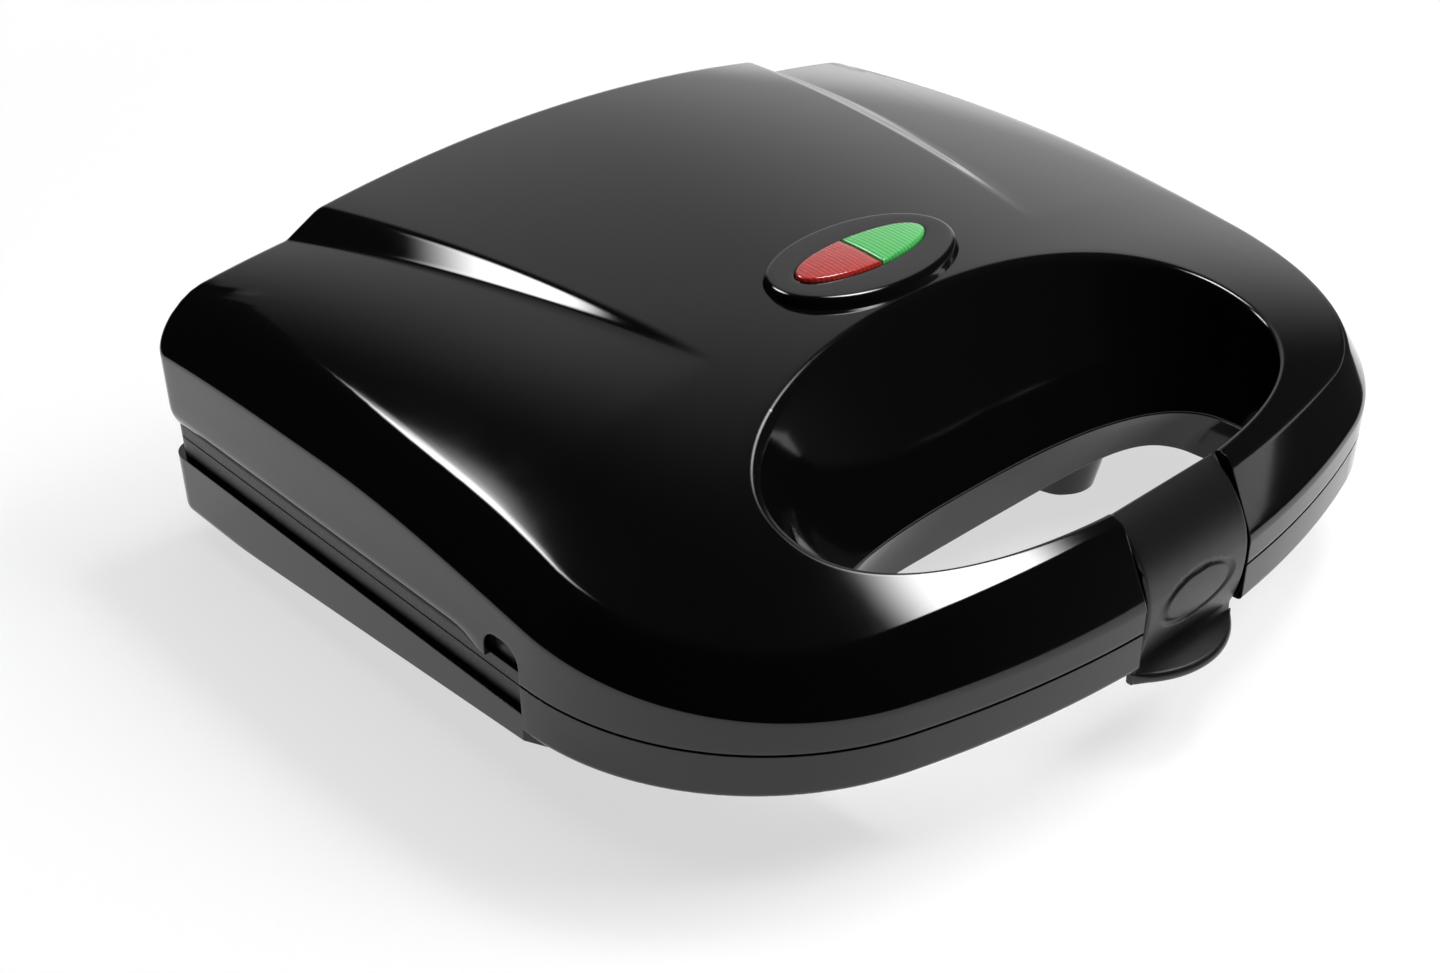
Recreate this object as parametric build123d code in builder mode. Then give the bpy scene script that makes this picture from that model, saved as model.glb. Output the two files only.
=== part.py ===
"""A two-slice sandwich maker: base, hinged lid and latch, in millimetres.

+Z is up, the handle points to -Y, and the origin is on the floor under the middle of the whole.
Depths are measured forward from the back wall, which stands at y = back_y.
"""

import os
from math import atan2, cos, pi, radians, sin, sqrt, tan

from build123d import *

os.makedirs("parts", exist_ok=True)

# Overall plan
overall_width = 224.0
handle_depth = 198.8  # back wall to the front of the handle
corner_r = 59.7  # front corners of the plan
front_r = 239.2  # gentle bow of the handle's front
back_corner_r = 6.0
body_depth = 130.0  # depth of the body, where the handle begins

# Heights
foot_h = 7.5  # floor to the underside of the base
handle_floor_z = 18.8  # underside of the handle where it leaves the body
handle_floor_rise = 2.4  # how much higher the underside is at the handle's front
seam_z = 28.0  # between base and lid round the body
handle_seam_z = 30.0  # between base and lid round the handle
seam_gap = 0.3
base_wall_z = 23.2  # top of the base's side and back walls
lid_wall_z = 31.1  # bottom of the lid's side and back walls
base_edge_r = 3.0
edge_rise = 9.6  # how much the base's lower side edge has risen at the handle
edge_rise_w = 11.0  # and how far in the slope under it starts there
handle_edge_r = 1.2

# Domed top: an arc from back to front and another across
dome_z = 75.3
dome_apex_depth = 37.0
dome_r_lengthways = 510.0
dome_r_across = 400.0
panel_half_back = 67.0  # raised centre panel's edge at the back
panel_half_front = 47.5  # and where the edge fades out
panel_fade_depth = 113.0
panel_step = 3.4
panel_step_back_w = 9.0
panel_step_front_w = 2.0
panel_shares = (0.22, 0.44, 0.66, 0.84, 1.0)  # where the top's sections lie, as shares of the fade's length
forehead_shares = (0.3, 0.6, 0.85)  # and from there to the front

# Sloping band between the walls and the top
band_back_z = 50.3
band_front_z = 36.0
band_back_drop = 1.7
band_drop_depth = 50.0
band_fall_start = 70.0
band_slope = 1.1
band_slope_gain = 1.0  # how much steeper it is at the handle's front
band_overlap = 14.0
band_side_shares = (-0.02, 0.15, 0.35, 0.55, 0.7, 0.85)  # its sections, along the side
band_corner_shares = (0.0, 0.2, 0.4, 0.6, 0.8)  # round the corner
band_front_shares = (0.0, 0.35, 0.7)  # and along half the front

# Finger opening through the handle
well_rim_depth = 155.5
well_rim_x = 68.2
well_rim_y = 32.2
well_rim_power = 2.2
well_seam_depth = 164.5
well_seam_x = 60.0
well_seam_y = 22.0
well_seam_power = 2.6
well_floor_x = 58.0
well_floor_power = 5.0
well_points = 32
well_shares = (0.0, 0.3, 0.65, 1.0)  # heights of its sections in the lid
well_low_shares = (0.0, 0.5, 1.0)  # and in the base

# Walls and clearances
wall = 2.5
fit_gap = 0.2  # pieces that sit inside each other
part_gap = 0.4  # frames' steps, one above the other
frame_inset = 1.5  # the frames' visible skirts, in from the shells
skirt = 2.2
base_lip_h = 4.0
lid_lip_h = 7.0
deck = 2.25
small = 1.0  # overshoot of a cut past a face

# Notches at the front end of the side slots
notch_w = 10.5
notch_h = 6.5
notch_r = 4.0

# Plates
plate_half_x = 99.5
plate_back = 11.0  # depth of the plate's back edge
plate_front = 125.5
plate_gap = 0.3
plate_corner_r = 6.0
ledge_w = 2.5
ledge_t = 2.0
pocket_depth = 7.5
pocket_inner_x = 5.0
pocket_margin = 5.0
pocket_corner_r = 9.0
pocket_taper = 25.0
pocket_wall = 2.0
ridge_h = 5.5
ridge_w = 8.0
ridge_top_w = 2.0
plate_boss_r = 3.0
plate_boss_depths = (30.0, 100.0)

# Heating elements, trays and what hangs on them
heater_r = 2.7
heater_half_x = 80.0
heater_margin = 17.0
heater_end_x = 24.0
heater_bend_r = 14.0
lead_pin_r = 1.6
lead_pin_l = 7.0
touch_gap = 0.05
tray_t = 0.6
tray_clearance = 0.6
tray_inset = 3.6  # tray's walls, in from the plate's edge
tray_rim = 3.0
tray_corner_r = 8.0
tray_slot_half = 14.0
tray_slot_h = 8.0
wire_r = 0.9
wire_bend_r = 2.0
wire_turn_r = 4.0
wire_x = 7.0
supply_x = -11.2
thermostat_r = 7.0
thermostat_x = -40.0
thermostat_depth = 62.0
tab_l = 5.0
tab_w = 4.0
tab_offset = 4.0
fuse_r = 1.8
fuse_back = 36.0  # depth of the fuse's back end
fuse_l = 12.0
return_x = 12.5
return_depth = 54.0

# Screws and their posts
screw_r = 1.5
screw_play = 0.05
head_r = 2.8
head_h = 1.4
boss_r = 3.4
boss_x = 103.1
boss_depths = (18.0, 112.0)
arm_boss_x = 88.0
arm_boss_depth = 150.0
base_boss_z = 20.0  # where the base's posts meet the frame's
front_seat_z = 13.5  # seat of the front body screws' heads, clear of the rising edge
arm_boss_z = 25.0
lid_boss_z = 36.0
screw_reach = 5.0  # thread in the far post
plate_screw_reach = 8.0

# Hinge
hinge_depth = -7.0  # the axis is behind the back wall
hinge_r = 5.0
hinge_x = 70.0
hinge_pin_r = 2.0
hinge_play = 0.05
knuckle_w = 18.0
ear_w = 6.0
ear_gap = 0.4
ear_root_z = 12.0
knuckle_root_z = 46.0
hinge_lean = 0.96  # where the brackets' slopes touch the barrels, as shares of their radius
hinge_rise = 0.28

# Latch clip
clip_w = 32.0
clip_side_gap = 0.7
clip_face_depth = 198.1  # the clip's front face
clip_face_bow = 0.2
clip_foot_depth = 196.4  # where the face meets the thumb lip
clip_wall_depth = 194.9  # wall of the notch behind the clip
clip_arm_gap = 0.8
clip_nose_gap = 0.25
clip_nose_h = 3.6
clip_rim_depth = 187.2  # top back edge of the clip
clip_rim_z = 51.4
clip_bend_depth = 193.6
clip_bend_z = 45.9
clip_face_z = 36.0
clip_lip_depth = 203.2  # the thumb lip's furthest point
clip_lip_z = 16.4
clip_lip_t = 2.4
clip_foot_z = 20.8
clip_pin_depth = 190.1
clip_pin_z = 46.2
clip_pin_r = 1.0
clip_pin_end = 4.0  # how far the pin goes into the lid on each side
clip_barrel_r = 2.2
clip_shoulder_z = 42.2  # where the arm's inner face turns in to the barrel
clip_swing = 2.0  # room behind the top edge, which dips as the clip is pulled
clip_barrel_gap = 0.5
pad_x = 12.0
pad_z = 5.6
pad_mid_z = 31.7
groove_w = 1.0
groove_depth = 0.5

# Lamps
lamp_depth = 106.7
bezel_x = 26.0
bezel_y = 15.0
bezel_mid_z = 71.7
bezel_fall = 0.06  # slope of its top towards the front
bezel_taper = 25.0
bezel_foot_z = 69.5  # height at which the bezel has its full size
lens_x = 18.6
lens_y = 6.2
lens_proud = 0.6
lens_low_z = 69.3
lens_gap = 0.15
lens_seam = 0.5
collar_t = 1.4
collar_low_z = 63.8
lamp_r = 2.2
lamp_l = 9.0
lamp_x = 8.5
holder_t = 1.6

# Base fittings
leg_top_r = 11.0
leg_low_r = 8.5
leg_front_top_r = 12.5
leg_front_x = 52.0
leg_front_depth = 125.0
leg_back_x = 84.0
leg_back_depth = 22.0
rubber_r = 6.0
rubber_h = 4.0
rubber_show = 2.0
vent_l = 26.0
vent_w = 3.0
vent_pitch = 8.0
vent_count = 5
vent_x = 30.0
vent_depth = 70.0
gland_x = 38.0
gland_z = 15.6
gland_r = 4.4
gland_bore_r = 3.4
gland_flange_r = 5.4
gland_flange_t = 2.0
clamp_half = 11.0
clamp_back = 8.5  # depth of the clamp's back face
clamp_front = 12.5
clamp_h = 4.6
clamp_r = 3.2
clamp_gap = 0.4
clamp_screw_x = 7.5
block_half = 12.0
block_back = 3.6  # depth of the terminal block's back face
block_front = 12.0
block_h = 9.0

# What follows from the sizes
half_width = overall_width / 2
back_y = (clip_lip_depth - (hinge_r - hinge_depth)) / 2
corner_x = half_width - corner_r
front_mid_depth = handle_depth - front_r
corner_depth = front_mid_depth + sqrt((front_r - corner_r) ** 2 - corner_x**2)
corner_turn = atan2(corner_depth - front_mid_depth, corner_x)  # where the corner meets the front's bow
base_top_z = seam_z - seam_gap / 2
lid_low_z = seam_z + seam_gap / 2
handle_base_z = handle_seam_z - seam_gap / 2
handle_lid_z = handle_seam_z + seam_gap / 2
base_floor_z = foot_h + wall
shell_fit = wall + fit_gap
notch_half = clip_w / 2 + clip_side_gap
pocket_low_z = base_top_z - pocket_depth - pocket_wall
heater_z = pocket_low_z - touch_gap - heater_r
tray_top_z = heater_z - heater_r - tray_clearance
ledge_z = base_top_z - deck - ledge_t
clip_arm_depth = clip_wall_depth + clip_arm_gap
pin_half = notch_half + clip_pin_end
bar_block_half = pin_half + small
collar_x = lens_x + lens_gap + collar_t
collar_y = lens_y + lens_gap + collar_t
block_wire_z = tray_top_z + wire_r + touch_gap


def ahead(depth):
    """The y of a point at this depth in front of the back wall."""
    return back_y - depth


hinge_y = ahead(hinge_depth)
clip_pin_y = ahead(clip_pin_depth)


def arc_drop(radius, reach):
    return radius - sqrt(radius**2 - reach**2)


def dome(x, depth):
    """Height of the domed top before the shoulders are set down."""
    return dome_z - arc_drop(dome_r_lengthways, depth - dome_apex_depth) - arc_drop(dome_r_across, x)


def band_low(depth):
    """Height at which the sloping band starts on the wall."""
    along = min(max((depth - band_fall_start) / (handle_depth - band_fall_start), 0.0), 1.0)
    fall = along * along * (3 - 2 * along)
    rear = max(1 - depth / band_drop_depth, 0.0)
    return band_back_z - (band_back_z - band_front_z) * fall - band_back_drop * rear**2


def band_rise(depth):
    """Slope of the band, height over inset."""
    return band_slope + band_slope_gain * max(2 * depth / handle_depth - 1, 0.0) ** 2


def floor_z(depth):
    """Underside of the handle, which rises a little towards the front."""
    return handle_floor_z + handle_floor_rise * (depth - body_depth) / (handle_depth - body_depth)


def plan(inset, z):
    """The body's plan, drawn in all round by inset, as a sketch at height z."""
    side = half_width - inset
    corner = corner_r - inset
    bow = front_r - inset
    start = (side, ahead(corner_depth))
    half_turn = corner_turn / 2
    middle = (corner_x + corner * cos(half_turn), ahead(corner_depth + corner * sin(half_turn)))
    touch = (bow * cos(corner_turn), ahead(front_mid_depth + bow * sin(corner_turn)))
    with BuildSketch(Plane.XY.offset(z)) as sketch:
        with BuildLine():
            Line((side, ahead(inset)), start)
            ThreePointArc(start, middle, touch)
            ThreePointArc(touch, (0, ahead(handle_depth - inset)), (-touch[0], touch[1]))
            ThreePointArc((-touch[0], touch[1]), (-middle[0], middle[1]), (-start[0], start[1]))
            Line((-start[0], start[1]), (-side, ahead(inset)))
            Line((-side, ahead(inset)), (side, ahead(inset)))
        make_face()
        fillet(sketch.vertices().sort_by(Axis.Y)[-2:], radius=max(back_corner_r - inset, small / 2))
    return sketch.sketch


def slab(half_x, depth_low, depth_high, z, corner=0.0, x=0.0):
    """A rectangle between two depths, as a sketch at height z."""
    with BuildSketch(Plane.XY.offset(z)) as sketch:
        with Locations((x, ahead((depth_low + depth_high) / 2))):
            if corner > 0:
                RectangleRounded(2 * half_x, depth_high - depth_low, corner)
            else:
                Rectangle(2 * half_x, depth_high - depth_low)
    return sketch.sketch


def between(sketch_maker, z_low, z_high):
    """What sketch_maker draws at z_low, extruded up to z_high."""
    with BuildPart() as block:
        extrude(sketch_maker(z_low), amount=z_high - z_low)
    return block.part


def box(half_x, depth_low, depth_high, z_low, z_high, corner=0.0, x=0.0):
    return between(lambda z: slab(half_x, depth_low, depth_high, z, corner, x), z_low, z_high)


def upright(x, y, z_low, z_high, radius):
    """An upright cylinder between two heights."""
    with BuildPart() as block:
        with BuildSketch(Plane.XY.offset(z_low)):
            with Locations((x, y)):
                Circle(radius)
        extrude(amount=z_high - z_low)
    return block.part


def bar(x_low, x_high, y, z, radius):
    """A round bar along X."""
    with BuildPart() as block:
        with BuildSketch(Plane(origin=(x_low, y, z), x_dir=(0, 1, 0), z_dir=(1, 0, 0))):
            Circle(radius)
        extrude(amount=x_high - x_low)
    return block.part


def rod(x, depth_low, depth_high, z, radius):
    """A round bar along Y."""
    with BuildPart() as block:
        with BuildSketch(Plane(origin=(x, ahead(depth_low), z), x_dir=(1, 0, 0), z_dir=(0, -1, 0))):
            Circle(radius)
        extrude(amount=depth_high - depth_low)
    return block.part


def side_shape(points, x_low, x_high):
    """A polygon of (depth, height) corners, extruded along X."""
    with BuildPart() as block:
        with BuildSketch(Plane(origin=(x_low, 0, 0), x_dir=(0, 1, 0), z_dir=(1, 0, 0))):
            with BuildLine():
                Polyline(*[(ahead(depth), z) for depth, z in points], close=True)
            make_face()
        extrude(amount=x_high - x_low)
    return block.part


def wire(points, z, radius=wire_r):
    """A lead that lies flat at height z, through (x, depth) points."""
    places = [(x, ahead(depth), z) for x, depth in points]
    with BuildPart() as lead:
        with BuildLine():
            path = FilletPolyline(*places, radius=wire_bend_r)
        heading = Vector(*places[1]) - Vector(*places[0])
        with BuildSketch(Plane(origin=places[0], z_dir=heading)):
            Circle(radius)
        sweep(path=path)
    return lead.part


def finish(builder, name):
    """Label a sub-part and write its file."""
    builder.part.label = name
    export_step(builder.part, f"parts/{name}.step")


# Finger opening


def oval(angle, semi_x, semi_y, power):
    """A point on a superellipse round the origin."""
    across = abs(cos(angle)) ** (2 / power) * semi_x
    along = abs(sin(angle)) ** (2 / power) * semi_y
    return (across if cos(angle) >= 0 else -across, along if sin(angle) >= 0 else -along)


def closed_curve(points, z):
    with BuildSketch(Plane.XY.offset(z)) as sketch:
        with BuildLine():
            Spline(*points, periodic=True)
        make_face()
    return sketch.sketch


def well_face(z, grow=0.0):
    """The opening in the lid at height z: its wall runs straight from the rim to the seam."""
    points = []
    for step in range(well_points):
        angle = 2 * pi * (step + 0.5) / well_points
        low_x, low_y = oval(angle, well_seam_x + grow, well_seam_y + grow, well_seam_power)
        rim_x, rim_y = oval(angle, well_rim_x + grow, well_rim_y + grow, well_rim_power)
        low_y += ahead(well_seam_depth)
        rim_y += ahead(well_rim_depth)
        rim_z = dome(rim_x, back_y - rim_y)
        share = (z - handle_seam_z) / (rim_z - handle_seam_z)
        points.append((low_x + (rim_x - low_x) * share, low_y + (rim_y - low_y) * share))
    return closed_curve(points, z)


def well_low_face(z, grow=0.0):
    """The opening in the base at height z, squarer towards the handle's underside."""
    share = (handle_seam_z - z) / (handle_seam_z - handle_floor_z)
    power = well_seam_power + (well_floor_power - well_seam_power) * share
    semi_x = well_seam_x + (well_floor_x - well_seam_x) * share + grow
    points = []
    for step in range(well_points):
        angle = 2 * pi * (step + 0.5) / well_points
        x, y = oval(angle, semi_x, well_seam_y + grow, power)
        points.append((x, y + ahead(well_seam_depth)))
    return closed_curve(points, z)


def lid_well(grow=0.0):
    """The opening's volume in the lid, past the top and just past the seam."""
    low_z = handle_lid_z - small
    with BuildPart() as block:
        loft(sections=[well_face(low_z + (dome_z - low_z) * share, grow) for share in well_shares])
    return block.part


def base_well(grow=0.0):
    """The opening's volume in the base, past both faces."""
    low_z = handle_floor_z - small
    high_z = handle_base_z + small
    with BuildPart() as block:
        loft(sections=[well_low_face(low_z + (high_z - low_z) * share, grow) for share in well_low_shares])
    return block.part


# The lid's form


def roof_profile(depth, drop):
    """Cross-section under the top at one depth: panel, steps and shoulders."""
    fade = min(max(1 - depth / panel_fade_depth, 0.0), 1.0)
    edge_x = panel_half_front + (panel_half_back - panel_half_front) * fade
    foot_x = edge_x + panel_step_front_w + (panel_step_back_w - panel_step_front_w) * fade
    side_x = half_width + 4 * small
    mid_x = (foot_x + side_x) / 2
    step = panel_step * fade
    edge_z = dome(edge_x, depth) - drop
    foot_z = dome(foot_x, depth) - step - drop
    side_z = dome(side_x, depth) - drop
    mid_z = dome(mid_x, depth) - drop - step * (side_x - mid_x) / (side_x - foot_x)
    low_z = seam_z - base_lip_h
    with BuildSketch(Plane(origin=(0, ahead(depth), 0), x_dir=(1, 0, 0), z_dir=(0, -1, 0))) as sketch:
        with BuildLine():
            Line((-side_x, low_z), (side_x, low_z))
            Line((side_x, low_z), (side_x, side_z))
            ThreePointArc((side_x, side_z), (mid_x, mid_z), (foot_x, foot_z))
            Line((foot_x, foot_z), (edge_x, edge_z))
            ThreePointArc((edge_x, edge_z), (0, dome(0, depth) - drop), (-edge_x, edge_z))
            Line((-edge_x, edge_z), (-foot_x, foot_z))
            ThreePointArc((-foot_x, foot_z), (-mid_x, mid_z), (-side_x, side_z))
            Line((-side_x, side_z), (-side_x, low_z))
        make_face()
    return sketch.sketch


def roof(drop):
    """Everything below the top surface, which is lowered by drop."""
    fading = [panel_fade_depth * share for share in panel_shares]
    beyond = [panel_fade_depth + (handle_depth - panel_fade_depth) * share for share in forehead_shares]
    depths = [-3 * small, *fading, *beyond, handle_depth + 4 * small]
    with BuildPart() as block:
        loft(sections=[roof_profile(depth, drop) for depth in depths])
    return block.part


def band_stations():
    """Places round the outline: a point on the wall and its outward normal."""
    side = []
    for share in band_side_shares:
        side.append((half_width, corner_depth * share, 1.0, 0.0))
    for share in band_corner_shares:
        angle = corner_turn * share
        x = corner_x + corner_r * cos(angle)
        side.append((x, corner_depth + corner_r * sin(angle), cos(angle), -sin(angle)))
    for share in band_front_shares:
        angle = corner_turn + (pi / 2 - corner_turn) * share
        x = front_r * cos(angle)
        side.append((x, front_mid_depth + front_r * sin(angle), cos(angle), -sin(angle)))
    middle = [(0.0, handle_depth, 0.0, -1.0)]
    other = [(-x, depth, -nx, ny) for x, depth, nx, ny in reversed(side)]
    return side + middle + other


def band_cutter(shift):
    """Everything outside the sloping band, which is moved inward by shift."""
    sections = []
    out = band_overlap / 2
    top = dome_z + band_overlap
    for x, depth, nx, ny in band_stations():
        rise = band_rise(depth)
        low = band_low(depth) - shift * sqrt(1 + rise**2)
        inner_z = low + band_overlap * rise
        with BuildSketch(Plane(origin=(x, ahead(depth), 0), x_dir=(nx, ny, 0), z_dir=(ny, -nx, 0))) as sketch:
            with BuildLine():
                Polyline(
                    (out, low - out * rise),
                    (out, top),
                    (-band_overlap, top),
                    (-band_overlap, inner_z),
                    close=True,
                )
            make_face()
        sections.append(sketch.sketch)
    with BuildPart() as block:
        loft(sections=sections)
    return block.part


def lid_form(inset, low_z):
    """The lid's solid form, drawn in by inset."""
    with BuildPart() as form:
        extrude(plan(inset, low_z), amount=dome_z - low_z)
        add(roof(inset), mode=Mode.INTERSECT)
        add(band_cutter(inset), mode=Mode.SUBTRACT)
    return form.part


def below_handle(back, lift, low_z):
    """The space under the handle from this depth forward, with its top lifted by lift."""
    far = handle_depth + 10 * small
    points = [(back, low_z), (back, floor_z(back) + lift), (far, floor_z(far) + lift), (far, low_z)]
    return side_shape(points, -half_width - small, half_width + small)


def under_side_edge(side, lift):
    """The space under the slope along one side's lower edge, with its top lifted by lift."""
    corner = Vector(side * half_width, back_y, foot_h)
    along = Vector(0, -body_depth, edge_rise)
    inward = Vector(-side * edge_rise_w, 0, -edge_rise)
    upright_way = along.cross(inward).normalized()
    if upright_way.Z < 0:
        upright_way = -upright_way
    face = Plane(origin=corner + upright_way * lift, x_dir=along, z_dir=upright_way)
    with BuildPart() as block:
        with Locations(face):
            Box(4 * body_depth, 4 * edge_rise_w, 2 * edge_rise_w, align=(Align.CENTER, Align.CENTER, Align.MAX))
        add(box(half_width + 2 * small, -2 * small, body_depth, 0, base_wall_z), mode=Mode.INTERSECT)
    return block.part


def under_body(edge):
    """Whether an edge of the base lies in the body's underside."""
    return edge.center().Z < foot_h + small / 10


def under_handle(edge):
    """Whether an edge of the base lies in the handle's underside."""
    middle = edge.center()
    lowest, highest = handle_floor_z - small / 10, handle_floor_z + handle_floor_rise + small / 10
    return lowest < middle.Z < highest and middle.Y < ahead(body_depth)


# Places that several pieces share
hinge_sides = (-hinge_x, hinge_x)
body_bosses = [(x, ahead(depth)) for x in (-boss_x, boss_x) for depth in boss_depths]
arm_bosses = [(x, ahead(arm_boss_depth)) for x in (-arm_boss_x, arm_boss_x)]
leg_places = [(x * side, ahead(depth))
              for x, depth in ((leg_front_x, leg_front_depth), (leg_back_x, leg_back_depth))
              for side in (-1, 1)]
# The front legs reach up to the handle's underside, the back ones into the base's floor
leg_front_top_z = floor_z(leg_front_depth + leg_front_top_r) + small
leg_tops_z = (leg_front_top_z, leg_front_top_z, foot_h + wall / 2, foot_h + wall / 2)
leg_tops_r = (leg_front_top_r, leg_front_top_r, leg_top_r, leg_top_r)
body_seats = [foot_h + head_h if y > 0 else front_seat_z for _, y in body_bosses]
plate_boss_places = [(0, ahead(depth)) for depth in plate_boss_depths]
arm_floor_z = floor_z(arm_boss_depth)
arm_head_z = arm_floor_z + small  # seat of the arm screws' heads

# Base housing: lower shell with the lower half of the handle, hinge ears and legs
with BuildPart() as base_cavity:
    extrude(plan(wall, base_floor_z), amount=handle_base_z + small - base_floor_z)
    add(below_handle(body_depth - wall, wall, foot_h), mode=Mode.SUBTRACT)
    add(base_well(wall), mode=Mode.SUBTRACT)
    high_z = handle_base_z + 2 * small
    clip_wall = box(notch_half + wall, clip_wall_depth - wall, handle_depth, foot_h, high_z)
    add(clip_wall, mode=Mode.SUBTRACT)
    for side in (-1, 1):
        add(under_side_edge(side, wall), mode=Mode.SUBTRACT)

ear_outline = [
    (small, ear_root_z),
    (small, base_wall_z - small),
    (hinge_depth / 2, seam_z - hinge_r / 2),
    (hinge_depth, seam_z),
    (hinge_depth - hinge_lean * hinge_r, seam_z - hinge_rise * hinge_r),
]

with BuildPart() as base_housing:
    extrude(plan(0, foot_h), amount=handle_base_z - foot_h)
    add(below_handle(body_depth, 0, foot_h - small), mode=Mode.SUBTRACT)
    fillet(base_housing.edges().filter_by(under_body), base_edge_r)
    fillet(base_housing.edges().filter_by(under_handle), handle_edge_r)
    add(box(half_width + small, -small, body_depth, base_wall_z, handle_base_z + small), mode=Mode.SUBTRACT)
    for (x, y), top_z, top_r in zip(leg_places, leg_tops_z, leg_tops_r):
        with BuildSketch(Plane.XY.offset(rubber_show)):
            with Locations((x, y)):
                Circle(leg_low_r)
        with BuildSketch(Plane.XY.offset(top_z)):
            with Locations((x, y)):
                Circle(top_r)
        loft()
    add(base_cavity.part, mode=Mode.SUBTRACT)
    add(base_well(), mode=Mode.SUBTRACT)
    clip_notch = box(notch_half, clip_wall_depth, handle_depth + small, foot_h, handle_base_z + small)
    add(clip_notch, mode=Mode.SUBTRACT)
    for (x, y), seat_z in zip(body_bosses, body_seats):
        add(upright(x, y, base_floor_z - small, base_boss_z, boss_r))
        add(upright(x, y, foot_h - small, base_boss_z + small, screw_r + screw_play), mode=Mode.SUBTRACT)
        add(upright(x, y, foot_h - small, seat_z, head_r + fit_gap), mode=Mode.SUBTRACT)
    for side in (-1, 1):
        add(under_side_edge(side, 0), mode=Mode.SUBTRACT)
    for x, y in arm_bosses:
        add(upright(x, y, arm_head_z, arm_boss_z, boss_r))
        add(upright(x, y, foot_h, arm_boss_z + small, screw_r + screw_play), mode=Mode.SUBTRACT)
        add(upright(x, y, foot_h, arm_head_z, head_r + fit_gap), mode=Mode.SUBTRACT)
    for x in hinge_sides:
        for side in (-1, 1):
            middle = x + side * (knuckle_w / 2 + ear_gap + ear_w / 2)
            add(side_shape(ear_outline, middle - ear_w / 2, middle + ear_w / 2))
            add(bar(middle - ear_w / 2, middle + ear_w / 2, hinge_y, seam_z, hinge_r))
        reach = knuckle_w / 2 + ear_gap + ear_w + small
        add(bar(x - reach, x + reach, hinge_y, seam_z, hinge_pin_r + hinge_play), mode=Mode.SUBTRACT)
    for x, y in leg_places:
        add(upright(x, y, 0, rubber_h, rubber_r + fit_gap), mode=Mode.SUBTRACT)
    for side in (-1, 1):
        with BuildSketch(Plane.XY.offset(foot_h - small)):
            with Locations((side * vent_x, ahead(vent_depth))):
                with GridLocations(vent_l, vent_pitch, 1, vent_count):
                    SlotOverall(vent_l, vent_w)
        extrude(amount=wall + 2 * small, mode=Mode.SUBTRACT)
    add(rod(gland_x, -small, wall + small, gland_z, gland_r + fit_gap), mode=Mode.SUBTRACT)
    # Saddle under the cord
    add(box(clamp_half, clamp_back, clamp_front, base_floor_z - small, gland_z - clamp_gap / 2, x=gland_x))
    add(rod(gland_x, clamp_back - small, clamp_front + small, gland_z, clamp_r), mode=Mode.SUBTRACT)
    for side in (-1, 1):
        x, y = gland_x + side * clamp_screw_x, ahead((clamp_back + clamp_front) / 2)
        add(upright(x, y, base_floor_z, gland_z + small, screw_r + screw_play), mode=Mode.SUBTRACT)
finish(base_housing, "base_housing")


# Inner frames: each carries a plate, and closes its half of the handle


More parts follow.
